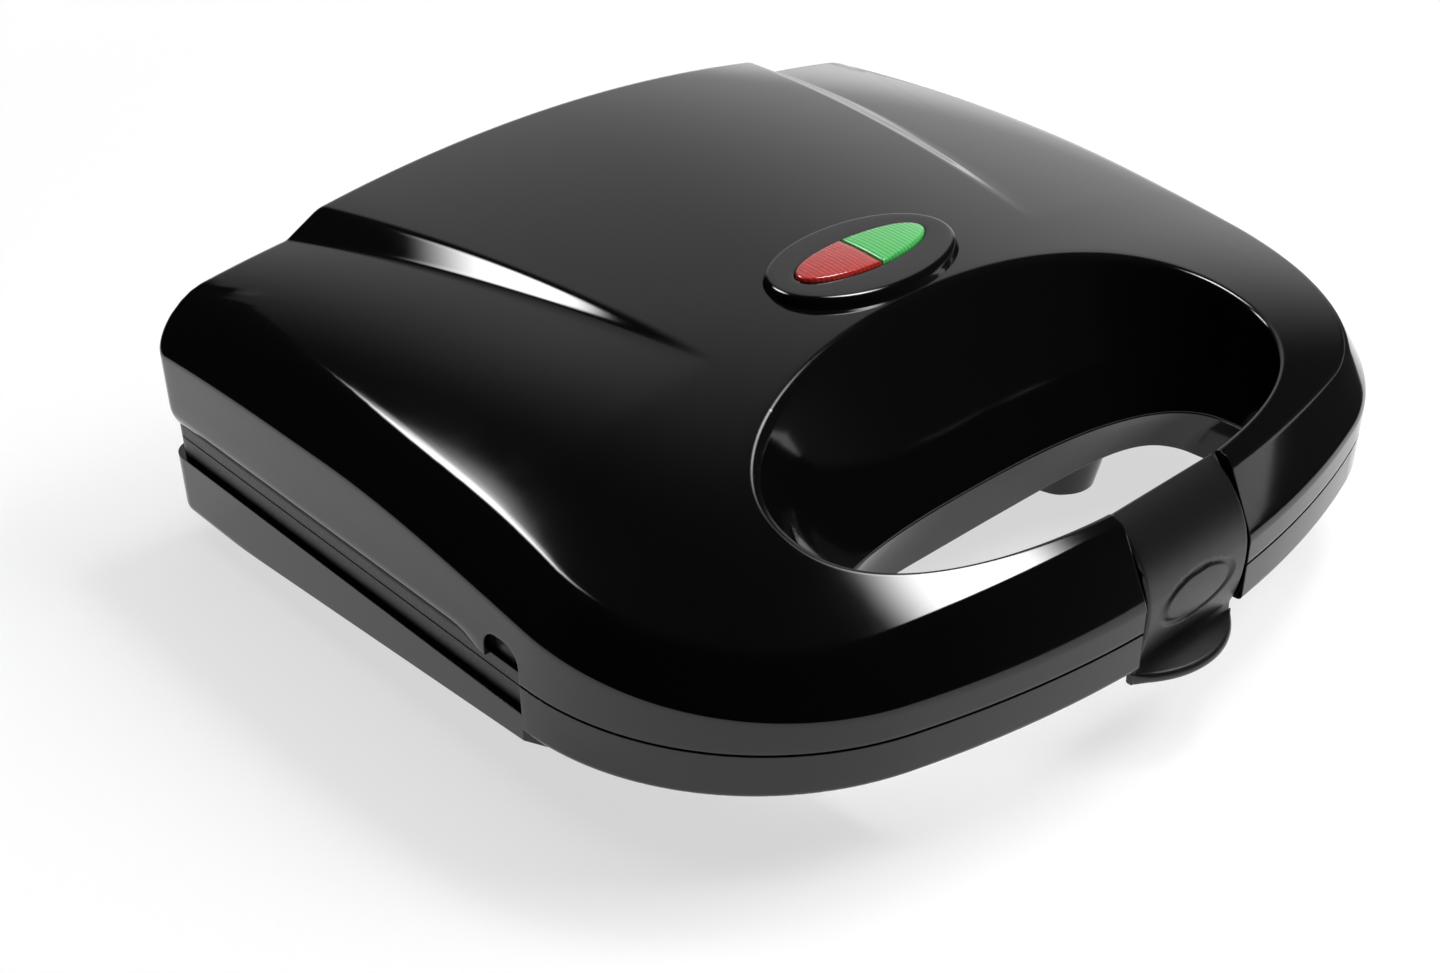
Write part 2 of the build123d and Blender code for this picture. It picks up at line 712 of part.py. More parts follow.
def frame_form(face_z, way, handle_face_z, skirt_end_z, lip_end_z, boss_end_z, arm_end_z):
    """An inner frame whose face is at face_z and whose back is way, up (1) or down (-1)."""

    def layer(sketch_maker, z_a, z_b):
        return between(sketch_maker, min(z_a, z_b), max(z_a, z_b))

    def ring(inset, z):
        with BuildSketch(Plane.XY.offset(z)) as sketch:
            add(plan(inset, 0))
            add(plan(inset + skirt, 0), mode=Mode.SUBTRACT)
        return sketch.sketch

    far = handle_depth + small
    step_depth = body_depth - part_gap / 2 if way > 0 else body_depth + part_gap / 2
    deck_back_z = face_z + way * deck
    handle_back_z = handle_face_z + way * deck

    def plate_slab(grow, z):
        corner = plate_corner_r + max(grow, 0)
        return slab(plate_half_x + grow, plate_back - grow, plate_front + grow, z, corner)

    with BuildPart() as body_half:
        add(layer(lambda z: ring(shell_fit, z), skirt_end_z - way * small, lip_end_z))
        if way < 0:
            # The lip stops short of the wall between body and handle
            add(box(half_width, body_depth - shell_fit, far, foot_h, base_wall_z), mode=Mode.SUBTRACT)
        add(layer(lambda z: plan(frame_inset, z), face_z, deck_back_z))
        add(layer(lambda z: ring(frame_inset, z), deck_back_z, skirt_end_z))
        add(box(half_width, body_depth - part_gap / 2, far, foot_h, dome_z), mode=Mode.SUBTRACT)
    with BuildPart() as tongue:
        # The base's deck runs on under the handle's step
        add(layer(lambda z: plan(shell_fit, z), face_z, deck_back_z))
        add(box(half_width, -small, body_depth - deck, foot_h, dome_z), mode=Mode.SUBTRACT)
        add(box(half_width, body_depth + deck, far, foot_h, dome_z), mode=Mode.SUBTRACT)
    with BuildPart() as handle_half:
        add(layer(lambda z: plan(shell_fit, z), handle_face_z, handle_back_z))
        back_limit = step_depth if way < 0 else body_depth - 2 * deck
        add(box(half_width, -small, back_limit, foot_h, dome_z), mode=Mode.SUBTRACT)
        well = lid_well(shell_fit) if way > 0 else base_well(shell_fit)
        add(well, mode=Mode.SUBTRACT)
        front_half = notch_half + (clip_pin_end + small if way > 0 else wall) + fit_gap
        add(box(front_half, well_seam_depth, far, foot_h, dome_z), mode=Mode.SUBTRACT)
    with BuildPart() as frame:
        add(body_half.part)
        if way < 0:
            add(tongue.part)
        add(handle_half.part)
        # Ledge round the plate
        ledge_end_z = deck_back_z + way * ledge_t
        add(layer(lambda z: plate_slab(skirt, z), deck_back_z, ledge_end_z))
        for x, y in body_bosses:
            add(upright(x, y, min(deck_back_z, boss_end_z), max(deck_back_z, boss_end_z), boss_r))
        for x, y in arm_bosses:
            add(upright(x, y, min(handle_back_z, arm_end_z), max(handle_back_z, arm_end_z), boss_r))
        # Seat of the plate
        add(layer(lambda z: plate_slab(plate_gap, z), face_z - way * small, deck_back_z), mode=Mode.SUBTRACT)
        add(layer(lambda z: plate_slab(-ledge_w, z), face_z, ledge_end_z + way * small), mode=Mode.SUBTRACT)
        ends = [(x, y, boss_end_z, face_z) for x, y in body_bosses]
        ends += [(x, y, arm_end_z, handle_face_z) for x, y in arm_bosses]
        for x, y, end_z, start_z in ends:
            low, high = sorted((end_z + way * small, start_z + way * small / 2))
            add(upright(x, y, low, high, screw_r + screw_play), mode=Mode.SUBTRACT)
            if way > 0:
                seat_z = start_z + head_h + fit_gap
                add(upright(x, y, start_z - small, seat_z, head_r + fit_gap), mode=Mode.SUBTRACT)
    return frame.part


with BuildPart() as base_frame:
    lip_end_z = base_wall_z - base_lip_h
    add(frame_form(base_top_z, -1, handle_base_z, base_wall_z, lip_end_z, base_boss_z, arm_boss_z))
    # Room for the gland's inner flange
    room = gland_flange_r + part_gap
    reach = shell_fit + gland_flange_t + part_gap
    add(box(room, -small, reach, foot_h, gland_z + room, x=gland_x), mode=Mode.SUBTRACT)
finish(base_frame, "base_frame")

with BuildPart() as lid_frame:
    add(frame_form(lid_low_z, 1, handle_lid_z, lid_wall_z, lid_wall_z + lid_lip_h, lid_boss_z, lid_boss_z))
finish(lid_frame, "lid_frame")


# Plates: non-stick aluminium, two pockets each with a cutting ridge from corner to corner
pocket_half_x = (plate_half_x - pocket_margin - pocket_inner_x) / 2
pocket_mid_x = pocket_inner_x + pocket_half_x
pocket_back = plate_back + pocket_margin
pocket_front = plate_front - pocket_margin
pocket_mid_depth = (pocket_back + pocket_front) / 2
pocket_half_y = (pocket_front - pocket_back) / 2


def pocket(side, grow, depth):
    """A pocket's tapered volume, hanging from the plate's face."""
    with BuildPart() as form:
        with BuildSketch(Plane.XY.offset(base_top_z)):
            with Locations((side * pocket_mid_x, ahead(pocket_mid_depth))):
                size_x, size_y = 2 * (pocket_half_x + grow), 2 * (pocket_half_y + grow)
                RectangleRounded(size_x, size_y, pocket_corner_r + grow)
        extrude(amount=-depth, taper=pocket_taper)
    return form.part


def cutting_ridge(side):
    """The wedge across a pocket from its back inner corner to its front outer one."""
    run = Vector(side * 2 * pocket_half_x, -2 * pocket_half_y, 0)
    start = Vector(side * pocket_inner_x, ahead(pocket_back), base_top_z - pocket_depth)
    with BuildPart() as wedge:
        with BuildSketch(Plane(origin=start, x_dir=run.cross(Vector(0, 0, 1)), z_dir=run)):
            with BuildLine():
                Polyline((-ridge_w / 2, -small), (ridge_w / 2, -small), (ridge_top_w / 2, ridge_h),
                         (-ridge_top_w / 2, ridge_h), close=True)
            make_face()
        extrude(amount=run.length)
        add(pocket(side, 0, pocket_depth + small / 2), mode=Mode.INTERSECT)
    return wedge.part


with BuildPart() as lower_plate:
    add(box(plate_half_x, plate_back, plate_front, base_top_z - deck, base_top_z, plate_corner_r))
    for side in (-1, 1):
        add(pocket(side, pocket_wall, pocket_depth + pocket_wall))
    for x, y in plate_boss_places:
        add(upright(x, y, tray_top_z, base_top_z - deck / 2, plate_boss_r))
        add(upright(x, y, tray_top_z - small, base_top_z - deck, screw_r + screw_play), mode=Mode.SUBTRACT)
    for side in (-1, 1):
        add(pocket(side, 0, pocket_depth), mode=Mode.SUBTRACT)
        add(cutting_ridge(side))
finish(lower_plate, "lower_plate")

# Heating element: one tube round under both pockets, with a cold pin at each end
heater_back = plate_back + heater_margin
heater_front = plate_front - heater_margin
with BuildPart() as lower_heater:
    with BuildLine():
        heater_path = FilletPolyline(
            (-heater_end_x, ahead(heater_back), heater_z),
            (-heater_half_x, ahead(heater_back), heater_z),
            (-heater_half_x, ahead(heater_front), heater_z),
            (heater_half_x, ahead(heater_front), heater_z),
            (heater_half_x, ahead(heater_back), heater_z),
            (heater_end_x, ahead(heater_back), heater_z),
            radius=heater_bend_r,
        )
    with BuildSketch(Plane(origin=(-heater_end_x, ahead(heater_back), heater_z), z_dir=(-1, 0, 0))):
        Circle(heater_r)
    sweep(path=heater_path)
    for side in (-1, 1):
        low, high = sorted((side * heater_end_x, side * (heater_end_x - lead_pin_l)))
        add(bar(low, high, ahead(heater_back), heater_z, lead_pin_r))
finish(lower_heater, "lower_heater")

# Reflector tray: sheet steel, its rim against the frame's ledge
tray_half_x = plate_half_x - tray_inset
tray_back = plate_back + tray_inset
tray_front = plate_front - tray_inset
with BuildPart() as lower_reflector:
    add(box(tray_half_x, tray_back, tray_front, tray_top_z - tray_t, ledge_z, tray_corner_r))
    add(box(tray_half_x + tray_rim, tray_back - tray_rim, tray_front + tray_rim, ledge_z - tray_t, ledge_z,
            tray_corner_r + tray_rim))
    add(box(tray_half_x - tray_t, tray_back + tray_t, tray_front - tray_t, tray_top_z, ledge_z + small,
            tray_corner_r - tray_t), mode=Mode.SUBTRACT)
    for x, y in plate_boss_places:
        add(upright(x, y, foot_h, tray_top_z + small, screw_r + fit_gap), mode=Mode.SUBTRACT)
    # Slot for the leads
    add(box(tray_slot_half, tray_back - small, tray_back + 2 * tray_t, tray_top_z, tray_top_z + tray_slot_h),
        mode=Mode.SUBTRACT)
finish(lower_reflector, "lower_reflector")

with BuildPart() as lower_plate_screws:
    for x, y in plate_boss_places:
        add(upright(x, y, tray_top_z - tray_t - head_h, tray_top_z - tray_t, head_r))
        add(upright(x, y, tray_top_z - tray_t, tray_top_z + plate_screw_reach, screw_r))
finish(lower_plate_screws, "lower_plate_screws")

# The lid carries the same plate, element, tray and screws, upside down
seam_plane = Plane.XY.offset(seam_z)
for lower, upper_name in (
    (lower_plate, "upper_plate"),
    (lower_heater, "upper_heater"),
    (lower_reflector, "upper_reflector"),
    (lower_plate_screws, "upper_plate_screws"),
):
    with BuildPart() as upper:
        mirror(lower.part, about=seam_plane)
    finish(upper, upper_name)

# Thermostat under the left pocket, with two tabs towards the middle
with BuildPart() as thermostat:
    y = ahead(thermostat_depth)
    add(upright(thermostat_x, y, tray_top_z + touch_gap, pocket_low_z - touch_gap, thermostat_r))
    for side in (-1, 1):
        tab_depth = thermostat_depth + side * tab_offset
        add(box(tab_l / 2 + small, tab_depth - tab_w / 2, tab_depth + tab_w / 2, block_wire_z - wire_r / 2,
                heater_z + wire_r, x=thermostat_x + thermostat_r + tab_l / 2 - small))
finish(thermostat, "thermostat")
tab_end_x = thermostat_x + thermostat_r + tab_l

# Thermal fuse on the way to the element's right end
with BuildPart() as thermal_fuse:
    add(rod(wire_x, fuse_back, fuse_back + fuse_l, heater_z, fuse_r))
finish(thermal_fuse, "thermal_fuse")

# Terminal block on the floor behind the tray
with BuildPart() as terminal_block:
    add(box(block_half, block_back, block_front, base_floor_z, base_floor_z + block_h))
    for x in (-2 * block_half / 3, 0, 2 * block_half / 3):
        y = ahead((block_back + block_front) / 2)
        top_z = base_floor_z + block_h
        add(upright(x, y, top_z - block_h / 2, top_z + small, screw_r), mode=Mode.SUBTRACT)
finish(terminal_block, "terminal_block")

# Leads in the base: block to fuse to the element's right pin, and block to thermostat to the left pin
pin_end_x = heater_end_x - lead_pin_l
tab_back = thermostat_depth - tab_offset
tab_front = thermostat_depth + tab_offset
with BuildPart() as base_wiring:
    add(rod(wire_x, block_front, fuse_back, heater_z, wire_r))
    add(wire([(wire_x, fuse_back + fuse_l), (wire_x, return_depth), (return_x, return_depth),
              (return_x, heater_back), (pin_end_x, heater_back)], heater_z))
    add(wire([(supply_x, block_front), (supply_x, tab_back), (tab_end_x, tab_back)], block_wire_z))
    corners = [(-wire_x, tab_front), (-wire_x, heater_back)]
    add(wire([(tab_end_x, tab_front), *corners, (-pin_end_x, heater_back)], heater_z + wire_r / 2))
finish(base_wiring, "base_wiring")

# Screws of the base, driven from below
with BuildPart() as base_screws:
    for (x, y), seat_z in zip(body_bosses, body_seats):
        add(upright(x, y, seat_z - head_h + fit_gap, seat_z, head_r))
        add(upright(x, y, seat_z, base_boss_z + screw_reach, screw_r))
    for x, y in arm_bosses:
        add(upright(x, y, arm_head_z - head_h, arm_head_z, head_r))
        add(upright(x, y, arm_head_z, arm_boss_z + deck, screw_r))
finish(base_screws, "base_screws")

# Rubber pads under the legs
with BuildPart() as rubber_feet:
    for x, y in leg_places:
        add(upright(x, y, 0, rubber_h, rubber_r))
finish(rubber_feet, "rubber_feet")

# Bush that lines the cord's hole
with BuildPart() as cord_gland:
    add(rod(gland_x, -gland_flange_t, 0, gland_z, gland_flange_r))
    add(rod(gland_x, 0, wall, gland_z, gland_r))
    add(rod(gland_x, wall, wall + gland_flange_t, gland_z, gland_flange_r))
    reach = gland_flange_t + small
    add(rod(gland_x, -reach, wall + reach, gland_z, gland_bore_r), mode=Mode.SUBTRACT)
finish(cord_gland, "cord_gland")

# Clamp over the cord, screwed down on its saddle
clamp_low_z = gland_z + clamp_gap / 2
with BuildPart() as cord_clamp:
    add(box(clamp_half, clamp_back, clamp_front, clamp_low_z, clamp_low_z + clamp_h, x=gland_x))
    add(rod(gland_x, clamp_back - small, clamp_front + small, gland_z, clamp_r), mode=Mode.SUBTRACT)
    for side in (-1, 1):
        x, y = gland_x + side * clamp_screw_x, ahead((clamp_back + clamp_front) / 2)
        add(upright(x, y, gland_z, clamp_low_z + clamp_h + small, screw_r + screw_play), mode=Mode.SUBTRACT)
finish(cord_clamp, "cord_clamp")

with BuildPart() as cord_clamp_screws:
    for side in (-1, 1):
        x, y = gland_x + side * clamp_screw_x, ahead((clamp_back + clamp_front) / 2)
        top_z = clamp_low_z + clamp_h
        add(upright(x, y, top_z, top_z + head_h, (clamp_front - clamp_back) / 2))
        add(upright(x, y, base_floor_z + small, top_z, screw_r))
finish(cord_clamp_screws, "cord_clamp_screws")

# Hinge pins
with BuildPart() as hinge_pins:
    reach = knuckle_w / 2 + ear_gap + ear_w
    for x in hinge_sides:
        add(bar(x - reach, x + reach, hinge_y, seam_z, hinge_pin_r))
finish(hinge_pins, "hinge_pins")


# Lid cover: domed shell with the well, the clip's notch and the hinge knuckles
with BuildPart() as lid_cavity:
    add(lid_form(wall, handle_lid_z - small))
    add(lid_well(wall), mode=Mode.SUBTRACT)
    add(box(bar_block_half, well_seam_depth, handle_depth, foot_h, dome_z), mode=Mode.SUBTRACT)

with BuildPart() as lid_posts:
    for x, y in body_bosses + arm_bosses:
        add(upright(x, y, lid_boss_z, dome_z, boss_r))
    add(lid_form(wall / 2, handle_lid_z), mode=Mode.INTERSECT)

knuckle_outline = [
    (small, knuckle_root_z),
    (small, lid_wall_z + wall),
    (hinge_depth / 2, seam_z + hinge_r / 2),
    (hinge_depth, seam_z),
    (hinge_depth - hinge_lean * hinge_r, seam_z + hinge_rise * hinge_r),
]

# What is cut through the shell: the side slots, the opening, the clip's notch and the lamps' hole
shoulder_outline = [
    (clip_pin_depth, clip_pin_z),
    (clip_pin_depth, clip_pin_z - clip_barrel_r - clip_barrel_gap),
    (clip_wall_depth, clip_shoulder_z - clip_barrel_gap),
    (clip_wall_depth, clip_pin_z),
]
with BuildPart() as slot_notches:
    with BuildSketch(Plane(origin=(-half_width - small, 0, 0), x_dir=(0, 1, 0), z_dir=(1, 0, 0))):
        with Locations((ahead(body_depth - notch_w / 2), lid_wall_z)):
            RectangleRounded(notch_w, 2 * notch_h, notch_r)
    extrude(amount=overall_width + 2 * small)
    add(box(half_width - shell_fit, -small, body_depth, foot_h, dome_z), mode=Mode.SUBTRACT)
with BuildPart() as lamp_hole:
    with BuildSketch(Plane.XY.offset(collar_low_z)):
        with Locations((0, ahead(lamp_depth))):
            Ellipse(collar_x + lens_gap, collar_y + lens_gap)
    extrude(amount=dome_z - collar_low_z)
lid_openings = [
    box(half_width + small, -small, body_depth, handle_lid_z - small, lid_wall_z),
    lid_well(),
    slot_notches.part,
    box(notch_half, clip_rim_depth - clip_swing, handle_depth + small, clip_pin_z, dome_z),
    box(notch_half, clip_wall_depth, handle_depth + small, seam_z, dome_z),
    bar(-notch_half, notch_half, clip_pin_y, clip_pin_z, clip_barrel_r + clip_barrel_gap),
    side_shape(shoulder_outline, -notch_half, notch_half),
    bar(-pin_half, pin_half, clip_pin_y, clip_pin_z, clip_pin_r + hinge_play),
    lamp_hole.part,
]
knuckles = []
lid_bores = []
for x in hinge_sides:
    knuckles.append(side_shape(knuckle_outline, x - knuckle_w / 2, x + knuckle_w / 2))
    knuckles.append(bar(x - knuckle_w / 2, x + knuckle_w / 2, hinge_y, seam_z, hinge_r))
    lid_bores.append(bar(x - knuckle_w, x + knuckle_w, hinge_y, seam_z, hinge_pin_r + hinge_play))
for x, y in body_bosses + arm_bosses:
    high_z = lid_boss_z + screw_reach + small
    lid_bores.append(upright(x, y, lid_boss_z - small, high_z, screw_r + screw_play))

with BuildPart() as lid_cover:
    add(lid_form(0, handle_lid_z))
    add([lid_cavity.part, *lid_openings], mode=Mode.SUBTRACT)
    add([lid_posts.part, *knuckles])
    add(lid_bores, mode=Mode.SUBTRACT)
finish(lid_cover, "lid_cover")

with BuildPart() as lid_screws:
    for places, face_z in ((body_bosses, lid_low_z), (arm_bosses, handle_lid_z)):
        for x, y in places:
            add(upright(x, y, face_z + fit_gap, face_z + fit_gap + head_h, head_r))
            add(upright(x, y, face_z + fit_gap + head_h, lid_boss_z + screw_reach, screw_r))
finish(lid_screws, "lid_screws")


# Lamps: a raised oval bezel with a collar through the lid, two lenses, two lamps on a holder


def above_bezel(lift):
    """The space above the bezel's sloping top, raised by lift."""
    back, front = lamp_depth - bezel_x, lamp_depth + bezel_x
    top = bezel_mid_z + lift
    points = [(back, top + bezel_fall * bezel_x), (back, dome_z + 2 * bezel_x), (front, dome_z + 2 * bezel_x),
              (front, top - bezel_fall * bezel_x)]
    return side_shape(points, -half_width, half_width)


def lamp_oval(semi_x, semi_y, z):
    with BuildSketch(Plane.XY.offset(z)) as sketch:
        with Locations((0, ahead(lamp_depth))):
            Ellipse(semi_x, semi_y)
    return sketch.sketch


with BuildPart() as bezel_pad:
    spread = (bezel_foot_z - collar_low_z) * tan(radians(bezel_taper))
    extrude(lamp_oval(bezel_x + spread, bezel_y + spread, collar_low_z), amount=dome_z - collar_low_z,
            taper=bezel_taper)
    add(above_bezel(0), mode=Mode.SUBTRACT)
    add(roof(0), mode=Mode.SUBTRACT)

with BuildPart() as lamp_bezel:
    add(bezel_pad.part)
    extrude(lamp_oval(collar_x, collar_y, collar_low_z), amount=bezel_mid_z - 2 * small - collar_low_z)
    extrude(lamp_oval(lens_x + lens_gap, lens_y + lens_gap, collar_low_z), amount=dome_z, mode=Mode.SUBTRACT)
finish(lamp_bezel, "lamp_bezel")

for side, name in ((-1, "red_lens"), (1, "green_lens")):
    with BuildPart() as lens:
        extrude(lamp_oval(lens_x, lens_y, lens_low_z), amount=dome_z - lens_low_z)
        add(above_bezel(lens_proud), mode=Mode.SUBTRACT)
        back, front = lamp_depth - bezel_x, lamp_depth + bezel_x
        half = box(lens_x / 2, back, front, collar_low_z, dome_z, x=side * (lens_x + lens_seam) / 2)
        add(half, mode=Mode.INTERSECT)
    finish(lens, name)

with BuildPart() as lamp_holder:
    extrude(lamp_oval(collar_x, collar_y, collar_low_z - holder_t), amount=holder_t)
finish(lamp_holder, "lamp_holder")

with BuildPart() as neon_lamps:
    for side in (-1, 1):
        middle = side * lamp_x
        lamp_z = collar_low_z + touch_gap + lamp_r
        add(bar(middle - lamp_l / 2, middle + lamp_l / 2, ahead(lamp_depth), lamp_z, lamp_r))
finish(neon_lamps, "neon_lamps")

# Leads in the lid: from each end of the element to the back, and from there up to the lamps
lid_heater_z = 2 * seam_z - heater_z
lamp_lead_z = collar_low_z - holder_t - wire_r
lamp_lead_x = wire_x - 2 * wire_r
with BuildPart() as lid_wiring:
    for side in (-1, 1):
        x = side * wire_x
        add(wire([(side * pin_end_x, heater_back), (x, heater_back), (x, block_back)], lid_heater_z))
        x, back_end_y = side * lamp_lead_x, ahead(block_front)
        lamp_end = (x, ahead(lamp_depth), lamp_lead_z)
        with BuildLine():
            supply_end = (x, back_end_y, lid_heater_z)
            FilletPolyline(lamp_end, (x, back_end_y, lamp_lead_z), supply_end, radius=wire_turn_r)
        with BuildSketch(Plane(origin=lamp_end, z_dir=(0, 1, 0))):
            Circle(wire_r)
        sweep()
finish(lid_wiring, "lid_wiring")


# Latch clip: barrel on its pin, arm down the front, nose behind and thumb lip below
with BuildPart() as latch_clip:
    with BuildSketch(Plane(origin=(-clip_w / 2, 0, 0), x_dir=(0, 1, 0), z_dir=(1, 0, 0))):
        with BuildLine():
            rim = (ahead(clip_rim_depth), clip_rim_z)
            face_top = (ahead(clip_face_depth), clip_face_z)
            face_foot = (ahead(clip_foot_depth), clip_foot_z)
            nose_y = ahead(clip_wall_depth + clip_nose_gap)
            ThreePointArc(rim, (ahead(clip_bend_depth), clip_bend_z), face_top)
            ThreePointArc(face_top, (ahead(clip_face_depth + clip_face_bow), pad_mid_z), face_foot)
            Polyline(
                face_foot,
                (ahead(clip_foot_depth), clip_lip_z),
                (nose_y, clip_lip_z),
                (nose_y, clip_lip_z + clip_nose_h),
                (ahead(clip_arm_depth), clip_lip_z + clip_nose_h + clip_arm_gap),
                (ahead(clip_arm_depth), clip_shoulder_z),
                (clip_pin_y, clip_pin_z - clip_barrel_r / 2),
                rim,
            )
        make_face()
    extrude(amount=clip_w)
    add(bar(-clip_w / 2, clip_w / 2, clip_pin_y, clip_pin_z, clip_barrel_r))
    with BuildSketch(Plane.XY.offset(clip_lip_z)):
        with BuildLine():
            left = (-clip_w / 2, ahead(clip_foot_depth))
            right = (clip_w / 2, ahead(clip_foot_depth))
            ThreePointArc(left, (0, ahead(clip_lip_depth)), right)
            Line(right, left)
        make_face()
    extrude(amount=clip_lip_t)
    add(bar(-clip_w, clip_w, clip_pin_y, clip_pin_z, clip_pin_r + hinge_play), mode=Mode.SUBTRACT)
    # Groove round the press pad
    groove_y = ahead(clip_face_depth - groove_depth)
    with BuildSketch(Plane(origin=(0, groove_y, pad_mid_z), x_dir=(1, 0, 0), z_dir=(0, -1, 0))):
        Ellipse(pad_x, pad_z)
        Ellipse(pad_x - groove_w, pad_z - groove_w, mode=Mode.SUBTRACT)
    extrude(amount=groove_depth + small, mode=Mode.SUBTRACT)
finish(latch_clip, "latch_clip")

with BuildPart() as latch_pin:
    add(bar(-pin_half, pin_half, clip_pin_y, clip_pin_z, clip_pin_r))
finish(latch_pin, "latch_pin")
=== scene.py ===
from math import acos, atan2, cos, pi, radians, sin, sqrt

import bmesh
import bpy
import numpy as np
from mathutils import Matrix, Quaternion, Vector


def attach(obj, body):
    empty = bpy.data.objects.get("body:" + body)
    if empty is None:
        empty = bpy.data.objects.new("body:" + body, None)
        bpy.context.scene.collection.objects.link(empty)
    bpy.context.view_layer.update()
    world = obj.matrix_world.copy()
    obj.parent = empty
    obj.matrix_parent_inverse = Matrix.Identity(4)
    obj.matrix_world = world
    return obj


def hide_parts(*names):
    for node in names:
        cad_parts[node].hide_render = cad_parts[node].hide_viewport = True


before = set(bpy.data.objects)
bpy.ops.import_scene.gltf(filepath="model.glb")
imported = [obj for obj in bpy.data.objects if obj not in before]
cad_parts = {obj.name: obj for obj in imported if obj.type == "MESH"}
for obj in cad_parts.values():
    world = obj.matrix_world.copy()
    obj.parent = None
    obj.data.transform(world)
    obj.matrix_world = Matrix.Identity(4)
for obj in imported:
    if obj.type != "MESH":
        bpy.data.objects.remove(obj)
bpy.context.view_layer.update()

# Lengths below are in millimetres unless MM is in the line. Depths count forward from the back wall, towards
# -Y, as they do in the part's own source.
MM = 0.001
BACK_WALL_Y = 95.6


# Camera.
# It stands at the photograph's viewing angle, left of the handle and above it. Its place and tilt were worked
# out from the machine's edges, with the eye's own depth measured from the back wall.
VIEW_AZIMUTH = 42.2888
VIEW_ELEVATION = 32.5731
VIEW_ROLL = -0.5843
LENS = 48.75
SENSOR = 36.0
NEAREST = 10.0
EYE = Vector((-273.2, -362.1 + BACK_WALL_Y, 251.7)) * MM


def place_camera():
    azimuth, elevation, roll = radians(VIEW_AZIMUTH), radians(VIEW_ELEVATION), radians(VIEW_ROLL)
    forward = Vector((sin(azimuth) * cos(elevation), cos(azimuth) * cos(elevation), -sin(elevation)))
    level = Vector((cos(azimuth), -sin(azimuth), 0))
    upward = level.cross(forward)
    right = level * cos(roll) + upward * sin(roll)
    upward = upward * cos(roll) - level * sin(roll)
    data = bpy.data.cameras.new("camera")
    data.lens = LENS
    data.sensor_width = SENSOR
    data.clip_start = NEAREST * MM
    camera = bpy.data.objects.new("camera", data)
    turn = Matrix((right, upward, -forward)).transposed().to_4x4()
    camera.matrix_world = Matrix.Translation(EYE) @ turn
    bpy.context.scene.collection.objects.link(camera)
    bpy.context.scene.camera = camera


place_camera()


# Rubber feet.
# Four round pads of black nitrile rubber, moulded with a rounded rim and a shallow hollow underneath, and
# pressed into the ends of the legs. They stand 2 mm proud of the legs.
FOOT_PLACES = ((-52.0, 125.0), (52.0, 125.0), (-84.0, 22.0), (84.0, 22.0))
FOOT_R = 6.0
FOOT_H = 4.0
FOOT_EDGE = 0.7
FOOT_HOLLOW_R = 3.6
FOOT_HOLLOW_H = 0.5


def linear(colour):
    """An sRGB hex colour as a linear one."""
    channels = [int(colour[i:i + 2], 16) / 255 for i in (1, 3, 5)]
    return [c / 12.92 if c <= 0.04045 else ((c + 0.055) / 1.055) ** 2.4 for c in channels] + [1.0]


def add_node(tree, kind, settings=None, inputs=None):
    """A node with its settings, and its inputs by name or number: a value, or a socket to link."""
    node = tree.nodes.new(kind)
    for name, value in (settings or {}).items():
        setattr(node, name, value)
    for key, value in (inputs or {}).items():
        if isinstance(value, bpy.types.NodeSocket):
            tree.links.new(value, node.inputs[key])
        else:
            node.inputs[key].default_value = value
    return node


def new_material(name, colour, roughness, **shader_values):
    """A material with one Principled shader, whose plain values sit on its own sockets."""
    material = bpy.data.materials.new(name)
    material.use_nodes = True
    shader = material.node_tree.nodes["Principled BSDF"]
    shader.inputs["Base Color"].default_value = linear(colour)
    shader.inputs["Roughness"].default_value = roughness
    for socket, value in shader_values.items():
        shader.inputs[socket.replace("_", " ")].default_value = value
    return material


# A noise pattern mostly stays between these two levels
NOISE_LOW = 0.3
NOISE_HIGH = 0.7
GRAIN_MIX = 0.55
EDGE_SAMPLES = 4


def apply_pattern(material, pattern, roughness=None, tints=None, height=None, edge=None):
    """Lets a pattern move the roughness and the colour between two values each, and raise the face by a height.

    With an edge radius, sharp edges are softened too, as a mould does. Height and radius are in mm."""
    tree = material.node_tree
    shader = tree.nodes["Principled BSDF"]
    if roughness:
        spread = add_node(tree, "ShaderNodeMapRange", inputs={
            "Value": pattern, "From Min": NOISE_LOW, "From Max": NOISE_HIGH,
            "To Min": roughness[0], "To Max": roughness[1]})
        tree.links.new(spread.outputs["Result"], shader.inputs["Roughness"])
    if tints:
        tint = add_node(tree, "ShaderNodeMix", {"data_type": "RGBA"}, {
            "Factor": pattern, 6: linear(tints[0]), 7: linear(tints[1])})
        tree.links.new(tint.outputs[2], shader.inputs["Base Color"])
    if height:
        raised = add_node(tree, "ShaderNodeBump", inputs={
            "Height": pattern, "Strength": 1.0, "Distance": height * MM})
        if edge:
            soft_edge = add_node(tree, "ShaderNodeBevel", {"samples": EDGE_SAMPLES}, {"Radius": edge * MM})
            tree.links.new(soft_edge.outputs["Normal"], raised.inputs["Normal"])
        tree.links.new(raised.outputs["Normal"], shader.inputs["Normal"])


def surface_grain(material, size, height, roughness, edge=0.35, detail=2.0, tints=None):
    """Gives a surface the fine noise of this wavelength and height in mm."""
    tree = material.node_tree
    place = add_node(tree, "ShaderNodeTexCoord")
    noise = add_node(tree, "ShaderNodeTexNoise", inputs={
        "Vector": place.outputs["Object"], "Scale": 1 / (size * MM), "Detail": detail, "Roughness": GRAIN_MIX})
    apply_pattern(material, noise.outputs["Fac"], roughness, tints, height, edge)


